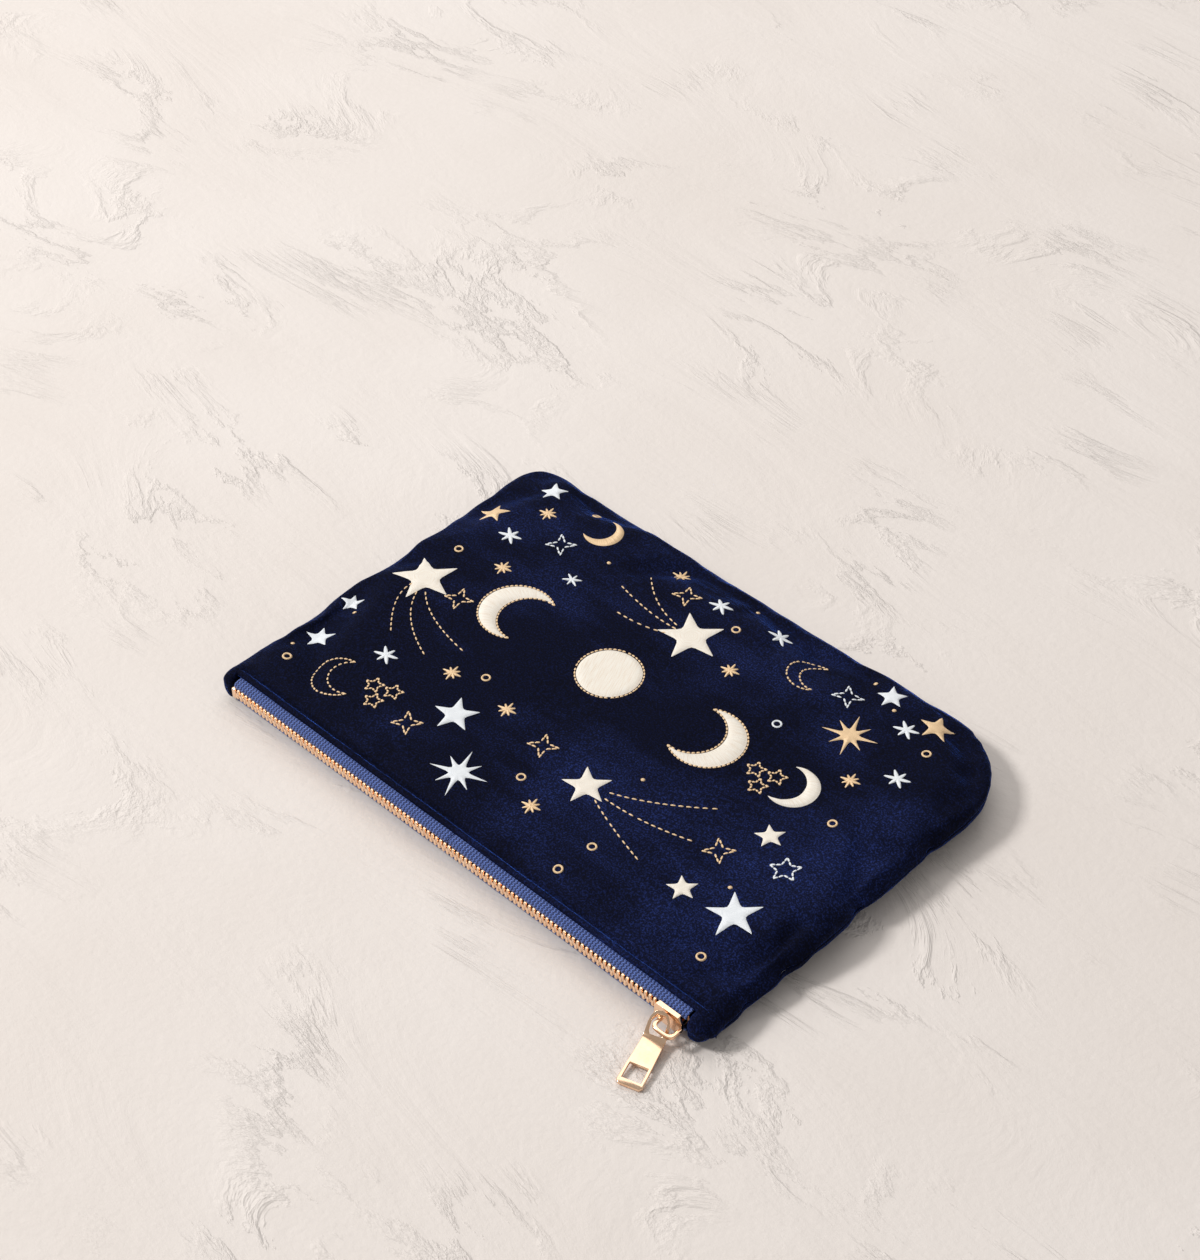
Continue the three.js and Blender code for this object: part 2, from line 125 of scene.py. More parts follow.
def relax(bm, axes="XYZ"):
    """Evens out the points along the axes named."""
    bmesh.ops.smooth_vert(
        bm, verts=bm.verts, factor=0.5,
        use_axis_x="X" in axes, use_axis_y="Y" in axes, use_axis_z="Z" in axes,
    )


def blend_front(piece, side):
    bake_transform(piece)


def slice_mesh(bm, point, normal, clear=False):
    """Cuts the faces along a plane, and clears what lies behind it where asked to."""
    geom = bm.verts[:] + bm.edges[:] + bm.faces[:]
    bmesh.ops.bisect_plane(bm, geom=geom, plane_co=point, plane_no=normal, clear_inner=clear)


def smoothstep(low, high, value):
    t = min(max((value - low) / (high - low), 0), 1)
    return t * t * (3 - 2 * t)


def refined_copy(node, width, segments=3, angle=28):
    """A merged copy of a CAD node's mesh with rounded edges."""
    bm = bmesh.new()
    bm.from_mesh(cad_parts[node].data)
    bmesh.ops.remove_doubles(bm, verts=bm.verts, dist=1e-6)
    bmesh.ops.dissolve_limit(
        bm, angle_limit=math.radians(2), verts=bm.verts, edges=bm.edges
    )
    sharp = [
        e for e in bm.edges
        if len(e.link_faces) == 2 and e.calc_face_angle() > math.radians(angle)
    ]
    bmesh.ops.bevel(
        bm, geom=sharp, offset=width, segments=segments, affect="EDGES",
        profile=0.5, material=-1, clamp_overlap=True,
    )
    return bm


# ---------------------------------------------------------------- node groups
def group_with(name, inputs, outputs):
    """An empty shader group with named sockets, and its input and output nodes."""
    tree = bpy.data.node_groups.new(name, "ShaderNodeTree")
    for label, kind, value in inputs:
        socket = tree.interface.new_socket(label, in_out="INPUT", socket_type=kind)
        socket.default_value = value
    for label, kind in outputs:
        tree.interface.new_socket(label, in_out="OUTPUT", socket_type=kind)
    return tree, tree.nodes.new("NodeGroupInput"), tree.nodes.new("NodeGroupOutput")


def math_node(tree, operation, a, b=None, clamp=False):
    node = tree.nodes.new("ShaderNodeMath")
    node.operation = operation
    node.use_clamp = clamp
    for socket, value in zip(node.inputs, (a, b)):
        if value is None:
            continue
        if isinstance(value, (int, float)):
            socket.default_value = value
        else:
            tree.links.new(value, socket)
    return node.outputs[0]


def noise_node(tree, vector, scale, detail=3.0, roughness=0.55, distortion=0.0):
    node = tree.nodes.new("ShaderNodeTexNoise")
    node.inputs["Scale"].default_value = scale
    node.inputs["Detail"].default_value = detail
    node.inputs["Roughness"].default_value = roughness
    node.inputs["Distortion"].default_value = distortion
    tree.links.new(vector, node.inputs["Vector"])
    return node.outputs["Fac"]


def mapped(tree, vector, scale, turn=0.0):
    node = tree.nodes.new("ShaderNodeMapping")
    node.inputs["Rotation"].default_value = (0, 0, turn)
    node.inputs["Scale"].default_value = scale
    tree.links.new(vector, node.inputs["Vector"])
    return node.outputs[0]


def mix_node(tree, amount, low, high):
    node = tree.nodes.new("ShaderNodeMix")
    node.data_type = "RGBA"
    for label, socket in (("Factor", amount), ("A", low), ("B", high)):
        tree.links.new(socket, node.inputs[label])
    return node.outputs["Result"]


def ramp_node(tree, value, stops):
    node = tree.nodes.new("ShaderNodeValToRGB")
    ramp = node.color_ramp
    while len(ramp.elements) < len(stops):
        ramp.elements.new(0.5)
    for element, (position, color) in zip(ramp.elements, stops):
        element.position = position
        element.color = (*color, 1)
    tree.links.new(value, node.inputs["Fac"])
    return node.outputs["Color"]


def pile_group():
    """Short pile: where it is brushed one way or the other, and its fine grain."""
    tree, inside, outside = group_with(
        "Velvet pile",
        [("Vector", VECTOR, (0, 0, 0)), ("Dark", COLOR, BLACK), ("Brushed", COLOR, WHITE)],
        [("Color", COLOR), ("Height", FLOAT), ("Roughness", FLOAT)],
    )
    calc = partial(math_node, tree)
    vector = inside.outputs["Vector"]
    broad = noise_node(tree, vector, 15, 2.5, 0.6)
    streak = noise_node(tree, mapped(tree, vector, (0.35, 1.6, 1)), 60, 4, 0.6)
    grain = noise_node(tree, vector, 1500, 2.5, 0.7)
    painted_sheen = calc("ADD", broad, calc("MULTIPLY", streak, 0.45))
    # The ramp makes patches of painted sheen from the broad and streaked noise; the same mask lowers the
    # roughness there.
    shade = ramp_node(tree, painted_sheen, [(0.70, (0, 0, 0)), (0.98, (1, 1, 1))])
    # Bright specks of the fine grain are painted glints, stronger in the painted sheen patches.
    glint_specks = calc("MULTIPLY", calc("SUBTRACT", grain, 0.48), 4.5, clamp=True)
    glint = calc("MULTIPLY", glint_specks, calc("ADD", calc("MULTIPLY", shade, 0.6), 0.2))
    # The mix amount is a little painted sheen plus the painted glints, over the dark pile colour.
    amount = calc("ADD", calc("MULTIPLY", shade, 0.08), glint, clamp=True)
    color = mix_node(tree, amount, inside.outputs["Dark"], inside.outputs["Brushed"])
    tree.links.new(color, outside.inputs["Color"])
    tree.links.new(calc("ADD", calc("MULTIPLY", streak, 6), grain), outside.inputs["Height"])
    rough = calc("ADD", calc("MULTIPLY", shade, -0.12), 0.78)
    tree.links.new(rough, outside.inputs["Roughness"])


def weave_group():
    """Crossed rows of threads: raised where a thread comes over, dark between."""
    tree, inside, outside = group_with(
        "Woven rows",
        [("Vector", VECTOR, (0, 0, 0)), ("Pitch", FLOAT, 1 * MM), ("Deep", COLOR, BLACK),
         ("Raised", COLOR, WHITE)],
        [("Color", COLOR), ("Height", FLOAT)],
    )
    calc = partial(math_node, tree)
    split = tree.nodes.new("ShaderNodeSeparateXYZ")
    tree.links.new(inside.outputs["Vector"], split.inputs[0])
    pitch = inside.outputs["Pitch"]
    along = calc("DIVIDE", split.outputs["X"], pitch)
    across = calc("DIVIDE", calc("ADD", split.outputs["Y"], split.outputs["Z"]), pitch)
    chevron = calc("PINGPONG", calc("MULTIPLY", across, 0.9), 0.5)
    turn = calc("MULTIPLY", calc("ADD", along, chevron), 2 * math.pi)
    thread = calc("MULTIPLY", calc("ADD", calc("SINE", turn), 1), 0.5)
    row = calc("ABSOLUTE", calc("SINE", calc("MULTIPLY", across, 1.8 * math.pi)))
    raised = calc("MULTIPLY", thread, calc("POWER", row, 0.5))
    fuzz = noise_node(tree, inside.outputs["Vector"], 900, 2)
    shade = calc("MULTIPLY", raised, calc("ADD", fuzz, 0.5), clamp=True)
    # Painted light and shade: raised threads take the lit colour, and the gaps between them take a painted
    # shade colour.
    color = mix_node(tree, shade, inside.outputs["Deep"], inside.outputs["Raised"])
    tree.links.new(color, outside.inputs["Color"])
    tree.links.new(raised, outside.inputs["Height"])


def satin_group():
    """Threads laid side by side, read from a stitch map whose U counts across them in metres."""
    tree, inside, outside = group_with(
        "Satin stitch",
        [("Stitch", VECTOR, (0, 0, 0)), ("Shade", COLOR, BLACK), ("Light", COLOR, WHITE)],
        [("Color", COLOR), ("Height", FLOAT), ("Roughness", FLOAT)],
    )
    calc = partial(math_node, tree)
    stitch = inside.outputs["Stitch"]
    split = tree.nodes.new("ShaderNodeSeparateXYZ")
    tree.links.new(stitch, split.inputs[0])
    turn = calc("MULTIPLY", calc("DIVIDE", split.outputs["X"], THREAD_PITCH), 2 * math.pi)
    thread = calc("ABSOLUTE", calc("SINE", calc("MULTIPLY", turn, 0.5)))
    strand = noise_node(tree, mapped(tree, stitch, (2400, 160, 1)), 1, 2)
    fibre = calc("SUBTRACT", calc("MULTIPLY", strand, 1.3), 0.2)
    lit = calc("ADD", calc("MULTIPLY", thread, 0.55), fibre, clamp=True)
    color = mix_node(tree, lit, inside.outputs["Shade"], inside.outputs["Light"])
    height = calc("ADD", thread, calc("MULTIPLY", strand, 0.4))
    rough = calc("SUBTRACT", 0.55, calc("MULTIPLY", strand, 0.25))
    for label, value in (("Color", color), ("Height", height), ("Roughness", rough)):
        tree.links.new(value, outside.inputs[label])


# ---------------------------------------------------------------- materials
def coordinates(tree, kind="Object"):
    return tree.nodes.new("ShaderNodeTexCoord").outputs[kind]


def shader_material(name, **values):
    material = bpy.data.materials.new(name)
    material.use_nodes = True
    shader = material.node_tree.nodes["Principled BSDF"]
    for label, value in values.items():
        shader.inputs[label.replace("_", " ")].default_value = value
    return material.node_tree, shader


def place_group(tree, group, **inputs):
    node = tree.nodes.new("ShaderNodeGroup")
    node.node_tree = bpy.data.node_groups[group]
    for label, value in inputs.items():
        node.inputs[label].default_value = value
    return node


def bump_into(tree, shader, height, strength, distance):
    node = tree.nodes.new("ShaderNodeBump")
    node.inputs["Strength"].default_value = strength
    node.inputs["Distance"].default_value = distance
    tree.links.new(height, node.inputs["Height"])
    tree.links.new(node.outputs["Normal"], shader.inputs["Normal"])


def wire_group(tree, group, shader, strength, distance):
    """Feeds a group's colour, height and, where it has one, roughness to the shader."""
    tree.links.new(group.outputs["Color"], shader.inputs["Base Color"])
    if "Roughness" in group.outputs:
        tree.links.new(group.outputs["Roughness"], shader.inputs["Roughness"])
    bump_into(tree, shader, group.outputs["Height"], strength, distance)


def velvet_material(name, dark, painted_sheen):
    tree, shader = shader_material(
        name, Sheen_Weight=0.9, Sheen_Roughness=0.2, Sheen_Tint=(0.06, 0.17, 0.8, 1),
        Specular_IOR_Level=0.06,
    )
    # The dark colour is the pile's own; the second colour is painted sheen, mixed in patches and glints.
    pile = place_group(tree, "Velvet pile", Dark=(*dark, 1), Brushed=(*painted_sheen, 1))
    tree.links.new(coordinates(tree), pile.inputs["Vector"])
    wire_group(tree, pile, shader, 0.7, 0.5 * MM)


def woven_material(name, gap_shade, raised, pitch, height):
    tree, shader = shader_material(
        name, Roughness=0.6, Sheen_Weight=0.25, Sheen_Roughness=0.4, Specular_IOR_Level=0.3
    )
    # The first colour is painted shade between the threads, the second their lit colour.
    weave = place_group(tree, "Woven rows", Pitch=pitch, Deep=(*gap_shade, 1), Raised=(*raised, 1))
    tree.links.new(coordinates(tree), weave.inputs["Vector"])
    wire_group(tree, weave, shader, 0.8, height)


def wadding_material():
    tree, shader = shader_material("Wadding fibre", Roughness=0.95)
    fibre = noise_node(tree, coordinates(tree), 700, 5, 0.7)
    color = ramp_node(tree, fibre, [(0.3, (0.62, 0.6, 0.56)), (0.7, (0.86, 0.85, 0.82))])
    tree.links.new(color, shader.inputs["Base Color"])
    bump_into(tree, shader, fibre, 0.7, 0.5 * MM)


def thread_material(name, shade, light, metallic):
    tree, shader = shader_material(name, Metallic=metallic, Specular_IOR_Level=0.6)
    satin = place_group(tree, "Satin stitch", Shade=(*shade, 1), Light=(*light, 1))
    tree.links.new(coordinates(tree, "UV"), satin.inputs["Stitch"])
    wire_group(tree, satin, shader, 0.6, 0.16 * MM)


def metal_material(name, shade, light):
    """Plated metal, a little duller where it is handled, with faint tool marks."""
    tree, shader = shader_material(name, Metallic=1.0, Coat_Roughness=0.1)
    vector = coordinates(tree)
    wear = noise_node(tree, vector, 160, 4, 0.65)
    color = ramp_node(tree, wear, [(0.3, shade), (0.7, light)])
    tree.links.new(color, shader.inputs["Base Color"])
    marks = noise_node(tree, mapped(tree, vector, (1, 0.2, 1)), 2500, 2)
    rough = math_node(tree, "ADD", math_node(tree, "MULTIPLY", wear, 0.12), 0.1)
    tree.links.new(rough, shader.inputs["Roughness"])
    bump_into(tree, shader, marks, 0.08, 0.04 * MM)


def floor_material():
    """Trowelled plaster: broad patches, raised drag marks and a fine tooth."""
    tree, shader = shader_material("Plaster floor", Roughness=0.8)
    calc = partial(math_node, tree)
    vector = coordinates(tree)
    broad = noise_node(tree, vector, 5, 5, 0.6)
    color = ramp_node(tree, broad, [(0.35, (0.76, 0.70, 0.655)), (0.65, (0.80, 0.745, 0.705))])
    tree.links.new(color, shader.inputs["Base Color"])
    drag = noise_node(tree, mapped(tree, vector, (1, 2.6, 1), 0.9), 7, 7, 0.62, 1.2)
    ridge = calc("ABSOLUTE", calc("SUBTRACT", drag, 0.52))
    ridge = calc("SUBTRACT", 1, calc("MULTIPLY", ridge, 26), clamp=True)
    patch = calc("SUBTRACT", noise_node(tree, vector, 11, 2), 0.46)
    ridge = calc("MULTIPLY", ridge, calc("MULTIPLY", patch, 6, clamp=True))
    tooth = noise_node(tree, vector, 320, 3)
    height = calc("ADD", calc("MULTIPLY", ridge, 0.5), calc("MULTIPLY", tooth, 0.12))
    height = calc("ADD", height, calc("MULTIPLY", drag, 0.9))
    bump_into(tree, shader, height, 0.5, 3.5 * MM)


def make_materials(finish):
    pile_group()
    weave_group()
    satin_group()
    velvet_material("Navy velvet", finish.velvet_dark, finish.velvet_painted_sheen)
    # Tape and lining: a painted shade colour between the threads, then the lit colour of the raised threads.
    woven_material("Zip tape", (0.005, 0.012, 0.07), finish.tape_lit_color, 1.4 * MM, 0.4 * MM)
    woven_material("Navy lining", (0.006, 0.009, 0.035), (0.02, 0.028, 0.09), 0.5 * MM, 0.1 * MM)
    wadding_material()
    thread_material("Gold thread", (0.52, 0.27, 0.10), finish.gold_color, 0.2)
    thread_material("Cream gold thread", (0.74, 0.55, 0.36), (1.0, 0.96, 0.87), 0.0)
    thread_material("Silver thread", (0.52, 0.58, 0.66), finish.silver_color, 0.0)
    metal_material("Rose gold", (0.93, 0.60, 0.38), (1.0, 0.74, 0.53))
    floor_material()


# ---------------------------------------------------------------- the pouch's form
def corner_radius(x):
    return CORNER_RADIUS_LEFT if x < 0 else CORNER_RADIUS_RIGHT


def outline_points(inset, past_mouth, steps=10):
    """The pouch seen from above: along the zip, then round the sides and the base."""
    base = HALF_WIDTH - inset
    mouth = base - MOUTH_NARROWER
    low = MOUTH_Y - past_mouth
    points = [(-mouth, low), (mouth, low)]
    for side, first in ((1, 0), (-1, math.pi / 2)):
        full = corner_radius(side)
        radius = full - inset
        for i in range(steps + 1):
            angle = first + math.pi / 2 * i / steps
            points.append((side * (HALF_WIDTH - full) + radius * math.cos(angle),
                           BASE_Y - full + radius * math.sin(angle)))
    return points


def seam_distance(x, y):
    """How far inside the sewn edge a point lies, seen from above."""
    lean = MOUTH_NARROWER * (BASE_Y - y) / (BASE_Y - MOUTH_Y)
    side = HALF_WIDTH - lean - abs(x)
    base = BASE_Y - y
    radius = corner_radius(x)
    if side < radius and base < radius:
        return radius - math.hypot(radius - side, radius - base)
    return min(side, base)


def start_form(voxel):
    """A flat pad of even thickness, remeshed into even quads."""
    bm = bmesh.new()
    past_mouth = 10 * MM
    low, high = SEAM_Z - 4.6 * MM, SEAM_Z + 5.2 * MM
    face = bm.faces.new([bm.verts.new((x, y, low)) for x, y in outline_points(0.8 * MM, past_mouth)])
    raised = bmesh.ops.extrude_face_region(bm, geom=[face])
    moved = [v for v in raised["geom"] if isinstance(v, bmesh.types.BMVert)]
    bmesh.ops.translate(bm, verts=moved, vec=(0, 0, high - low))
    rims = [e for e in bm.edges if abs(e.verts[0].co.z - e.verts[1].co.z) < 1e-7]
    bmesh.ops.bevel(
        bm, geom=rims, offset=4.2 * MM, segments=4, affect="EDGES",
        profile=0.5, material=-1, clamp_overlap=True,
    )
    bmesh.ops.recalc_face_normals(bm, faces=bm.faces)
    form = linked_object("form", bm)
    remesh = form.modifiers.new("Even quads", "REMESH")
    remesh.mode = "VOXEL"
    remesh.voxel_size = voxel
    return form


def apply_modifiers(piece):
    """Replaces a piece's mesh by what its modifiers make of it."""
    graph = bpy.context.evaluated_depsgraph_get()
    mesh = bpy.data.meshes.new_from_object(piece.evaluated_get(graph), depsgraph=graph)
    piece.modifiers.clear()
    piece.data = mesh


def inflate(form, sizes):
    """Cloth with a little too much fabric for its seams, blown up by the wadding inside."""
    held = form.vertex_groups.new(name="sewn")
    for vertex in form.data.vertices:
        x, y, z = vertex.co
        at_seam = seam_distance(x, y) < 2.4 * MM and abs(z - SEAM_Z) < 2.6 * MM
        at_mouth = y < MOUTH_Y + 1.5 * MM
        if at_seam or at_mouth:
            held.add([vertex.index], 1.0, "REPLACE")
    start = [v.co.copy() for v in form.data.vertices]
    cloth = form.modifiers.new("Cloth", "CLOTH")
    settings = cloth.settings
    settings.quality = 6
    settings.mass = 0.15
    settings.tension_stiffness = 12
    settings.compression_stiffness = 12
    settings.shear_stiffness = 6
    settings.bending_stiffness = 0.25
    settings.vertex_group_mass = "sewn"
    settings.use_pressure = True
    settings.uniform_pressure_force = sizes.pressure
    settings.shrink_min = -sizes.spare_cloth
    settings.effector_weights.gravity = 0
    cloth.collision_settings.use_collision = False
    scene = bpy.context.scene
    cloth.point_cache.frame_end = sizes.frames
    for number in range(1, sizes.frames + 1):
        scene.frame_set(number)
    apply_modifiers(form)
    scene.frame_set(1)
    for vertex, was in zip(form.data.vertices, start):
        moved = vertex.co - was
        if moved.length > sizes.furthest:
            vertex.co = was + moved * (sizes.furthest / moved.length)


def crease(x, y, inside):
    """Depth, from 0 to 1, of the folds that run in from the closed side's seam."""
    if x < 60 * MM:
        return 0.0
    depth = 0.0
    for start, slope, reach in ((-12, 0.5, 24), (-47, -0.3, 18), (26, 0.6, 15), (-66, 0.4, 10)):
        off = y - start * MM - slope * inside
        depth += math.exp(-(off / (2.3 * MM)) ** 2) * math.exp(-inside / (reach * MM))
    return depth


def settle(form):
    """Rests the back on the floor, brings the mouth down to the zip, adds soft creases."""
    top = TOP_Z + 1.0 * MM
    for vertex in form.data.vertices:
        x, y, z = vertex.co
        inside = seam_distance(x, y)
        fold = crease(x, y, max(inside, 0))
        if z > SEAM_Z:
            near_seam = math.exp(-max(inside, 0) / (13 * MM))
            strength = 1.8 + 1.6 * smoothstep(40 * MM, 110 * MM, x)
            pucker = noise.noise(Vector((x, y, 0)) / (9 * MM)) * near_seam * strength * MM
            broad = noise.noise(Vector((x, y, 5 * MM)) / (38 * MM)) * 1.3 * MM
            z += (pucker + broad) * smoothstep(0, 10 * MM, inside)
            limit = top - 1.5 * MM
            if z > limit:
                over = z - limit
                z = limit + over / (1 + over / (1.5 * MM))
            wave = noise.noise(Vector((x / (17 * MM), 3.7, 0))) * 0.35 * MM
            side = min(max(inside / (9 * MM), 0), 1)
            rim = SEAM_Z + (6.5 * MM + wave) * math.sqrt(1 - (1 - side) ** 2)
            near_mouth = 1 - smoothstep(0, 15 * MM, y - MOUTH_Y)
            z += (rim - z) * near_mouth
            z -= fold * 2.4 * MM
        else:
            z = max(z, 0.0)
        vertex.co.z = z
        if inside < 4 * MM:
            vertex.co.x -= fold * 2.0 * MM


def raise_side(point):
    """The closed side's edge curls up from the floor, away from the zip."""
    amount = smoothstep(72 * MM, 124 * MM, point.x) * smoothstep(-74 * MM, -30 * MM, point.y)
    point.z += amount * SIDE_LIFT
    point.x += amount * SIDE_SPREAD


def form_part(front, depth=0.0, mouth_y=MOUTH_Y):
    """One face of the form as an open sheet, moved inwards by the depth given."""
    bm = bmesh.new()
    bm.from_mesh(surface["mesh"])
    gap = 0.15 * MM
    up = 1 if front else -1
    slice_mesh(bm, (0, 0, SEAM_Z + up * gap), (0, 0, up), clear=True)
    if depth:
        near = [
            f for f in bm.faces
            if seam_distance(*f.calc_center_median().xy) < 2.5 * MM + depth / 2
        ]
        bmesh.ops.delete(bm, geom=near, context="FACES")
        bm.normal_update()
        for vertex in bm.verts:
            vertex.co -= vertex.normal * depth
        relax(bm, "Z")
    slice_mesh(bm, (0, mouth_y, 0), (0, 1, 0), clear=True)
    for vertex in bm.verts:
        raise_side(vertex.co)
    return bm


def turn_edge(bm, up):
    """Rolls the velvet's edge down to the tape and stitches a groove beside it."""
    for step in (2.0, 2.7, 3.3, 3.9, 4.8, 6.5):
        slice_mesh(bm, (0, FOLD_Y + step * MM, 0), (0, 1, 0))
    for vertex in bm.verts:
        off = (vertex.co.y - FOLD_Y - GROOVE_FROM_EDGE) / GROOVE_HALF_WIDTH
        vertex.co.z -= up * GROOVE_DEPTH * math.exp(-off ** 2)
    edge = min(v.co.y for v in bm.verts)
    rim = [e for e in bm.edges if e.is_boundary and all(v.co.y < edge + 1e-6 for v in e.verts)]
    before = 0.0
    for angle in (30, 60, 90, 110):
        turned = math.radians(angle)
        made = bmesh.ops.extrude_edge_only(bm, edges=rim)["geom"]
        verts = [v for v in made if isinstance(v, bmesh.types.BMVert)]
        rim = [e for e in made if isinstance(e, bmesh.types.BMEdge)]
        move = Vector((0, math.sin(before) - math.sin(turned), math.cos(turned) - math.cos(before)))
        bmesh.ops.translate(bm, verts=verts, vec=Vector((0, move.y, move.z * up)) * EDGE_ROLL)
        before = turned


def thick_mesh(name, bm, thickness, levels, offset=-1):
    """An open sheet given its thickness, on the inside unless told otherwise, and rounded."""
    piece = linked_object(name, bm)
    wall = piece.modifiers.new("Thickness", "SOLIDIFY")
    wall.thickness = thickness
    wall.offset = offset
    if levels:
        soften(piece, levels)
    apply_modifiers(piece)
    return piece


def halves(whole, name):
    """Cuts a finished front in two at the middle, shaded as if it were still one."""
    bm = bmesh.new()
    bm.from_mesh(whole.data)
    slice_mesh(bm, (0, 0, 0), (1, 0, 0))
    bm.normal_update()
    shading = {
        tuple(round(c, 7) for c in v.co): v.normal.copy()
        for v in bm.verts if abs(v.co.x) < 1e-7
    }
    made = {}
    for side, keep in (("left", -1), ("right", 1)):
        half = bm.copy()
        gone = [f for f in half.faces if f.calc_center_median().x * keep < 0]
        bmesh.ops.delete(half, geom=gone, context="FACES")
        made[side] = linked_object(f"{name}_{side}", half)
        mesh = made[side].data
        normals = [shading.get(tuple(round(c, 7) for c in v.co), Vector()) for v in mesh.vertices]
        for polygon in mesh.polygons:
            polygon.use_smooth = True
        mesh.normals_split_custom_set_from_vertices(normals)
    bm.free()
    bpy.data.objects.remove(whole)
    return made


def make_form(sizes):
    form = start_form(sizes.voxel)
    apply_modifiers(form)
    inflate(form, sizes)
    settle(form)
    bm = bmesh.new()
    bm.from_mesh(form.data)
    relax(bm)
    bm.to_mesh(form.data)
    bm.free()
    surface["mesh"] = form.data
    bpy.data.objects.remove(form)
    front = form_part(True)
    bmesh.ops.triangulate(front, faces=front.faces)
    surface["tree"] = BVHTree.FromBMesh(front)
    front.free()


def make_layer(kind, sheet, thickness, levels, material_name):
    """One layer of fabric: front halves that open with the mouth, and a back panel."""
    whole = thick_mesh("whole_front", sheet(True), thickness, levels)
    for side, piece in halves(whole, f"{kind}_front").items():
        finish_piece(piece, material_name, kind)
        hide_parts(f"{kind}_front")
        blend_front(piece, side)
    piece = thick_mesh(f"{kind}_back_panel", sheet(False), thickness, levels)
    finish_piece(piece, material_name, kind)
    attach(piece, "back")
    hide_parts(f"{kind}_back")


def make_velvet(sizes):
    def sheet(front):
        bm = form_part(front, 0.0, FOLD_Y + EDGE_ROLL)
        turn_edge(bm, 1 if front else -1)
        return bm

    make_layer("velvet", sheet, sizes.velvet, 1, "Navy velvet")


def make_wadding(sizes):
    sheet = partial(form_part, depth=1.3 * MM, mouth_y=MOUTH_Y + 9 * MM)
    make_layer("wadding", sheet, sizes.wadding, 0, "Wadding fibre")


def make_lining(sizes):
    sheet = partial(form_part, depth=2.9 * MM)
    make_layer("lining", sheet, sizes.lining, 0, "Navy lining")


# ---------------------------------------------------------------- the zip
def tape_route(front):
    """Half the tape's section in Y and Z, from between the teeth's legs into the seam."""
    side = 1 if front else -1
    edge = CHAIN_Z + side * 2.2 * MM
    run = [(0, 0), (0, 0.7), (0.1, 1.2), (0.45, 1.65), (1.1, 1.95), (2, 2.1), (3, 2.15),
           (4, 2.15), (5.5, 2.0), (8, 1.9), (13.5, 1.9)]
    return [(CHAIN_Y + y * MM, edge + side * z * MM) for y, z in run]


def tape_mesh(front, x0, x1):
    route = tape_route(front)
    columns = round((x1 - x0) / (2 * MM))
    bm = bmesh.new()
    bmesh.ops.create_grid(bm, x_segments=columns, y_segments=len(route) - 1, size=0.5)
    for vertex in bm.verts:
        x = x0 + (vertex.co.x + 0.5) * (x1 - x0)
        y, z = route[round((vertex.co.y + 0.5) * (len(route) - 1))]
        out = smoothstep(CHAIN_Y + 6 * MM, CHAIN_Y + 2 * MM, y)
        z += noise.noise(Vector((x / (15 * MM), 1.3, 0))) * 0.35 * MM * out
        vertex.co = (x, y, z)
    return bm


def make_tapes(sizes):
    low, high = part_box("zip_tape_front")
    spans = {"left": (low.x, 0.0), "right": (0.0, high.x)}
    for side, (x0, x1) in spans.items():
        piece = thick_mesh(f"zip_tape_front_{side}", tape_mesh(True, x0, x1), sizes.tape, 1, 0)
        finish_piece(piece, "Zip tape", "zip_tape")
        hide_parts("zip_tape_front")
        blend_front(piece, side)
    piece = thick_mesh("zip_tape_back_strip", tape_mesh(False, low.x, high.x), sizes.tape, 1, 0)
    finish_piece(piece, "Zip tape", "zip_tape")
    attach(piece, "back")
    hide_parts("zip_tape_back")


def tooth_shape(side):
    """One tooth: a rounded head that meshes, and wider legs that grip the tape."""
    levels = [
        (-0.9, 0.4, 0.8), (-0.6, 0.5, 1.05), (0.8, 0.5, 1.1), (1.05, 0.48, 1.15),
        (2.5, 0.5, 1.3), (2.8, 0.38, 1.1),
    ]
    if side < 0:
        levels[3:] = [(1.0, 0.6, 1.1), (1.7, 0.6, 1.1), (1.95, 0.45, 0.9)]
    corner = 0.3
    bm = bmesh.new()
    rings = []
    for height, half_x, half_y in levels:
        cut = corner * half_x
        ring = []
        for sx, sy, first in ((1, 1, 0), (-1, 1, 1), (-1, -1, 0), (1, -1, 1)):
            pair = [(sx * half_x, sy * (half_y - cut)), (sx * (half_x - cut), sy * half_y)]
            if first:
                pair.reverse()
            ring += pair
        z = CHAIN_Z + side * height * MM
        rings.append([bm.verts.new((x * MM, CHAIN_Y + y * MM, z)) for x, y in ring])
    for low, high in zip(rings, rings[1:]):
        for i in range(8):
            bm.faces.new((low[i], low[(i + 1) % 8], high[(i + 1) % 8], high[i]))
    bm.faces.new(rings[0])
    bm.faces.new(rings[-1])
    mesh = bpy.data.meshes.new("tooth")
    bm.to_mesh(mesh)
    bm.free()
    return mesh


def make_teeth(sizes):
    low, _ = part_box("tooth_row_back")
    half_tooth = 0.35 * MM
    for row, side in (("front", 1), ("back", -1)):
        tooth = tooth_shape(side)
        shift = TOOTH_PITCH / 2 if side > 0 else 0
        places = [low.x + half_tooth + shift + i * TOOTH_PITCH for i in range(TOOTH_COUNT)]
        groups = {"": places}
        if side > 0:
            groups = {"_left": [x for x in places if x < 0], "_right": [x for x in places if x >= 0]}
        for ending, xs in groups.items():
            bm = bmesh.new()
            for x in xs:
                before = len(bm.verts)
                bm.from_mesh(tooth)
                bm.verts.ensure_lookup_table()
                bmesh.ops.translate(bm, verts=bm.verts[before:], vec=(x, 0, 0))
            piece = new_piece(f"teeth_{row}{ending}", bm, "Rose gold", "rose_gold")
            piece.data.set_sharp_from_angle(angle=math.radians(50))
            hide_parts(f"tooth_row_{row}")
            if ending:
                blend_front(piece, ending[1:])
            else:
                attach(piece, "back")
        bpy.data.meshes.remove(tooth)


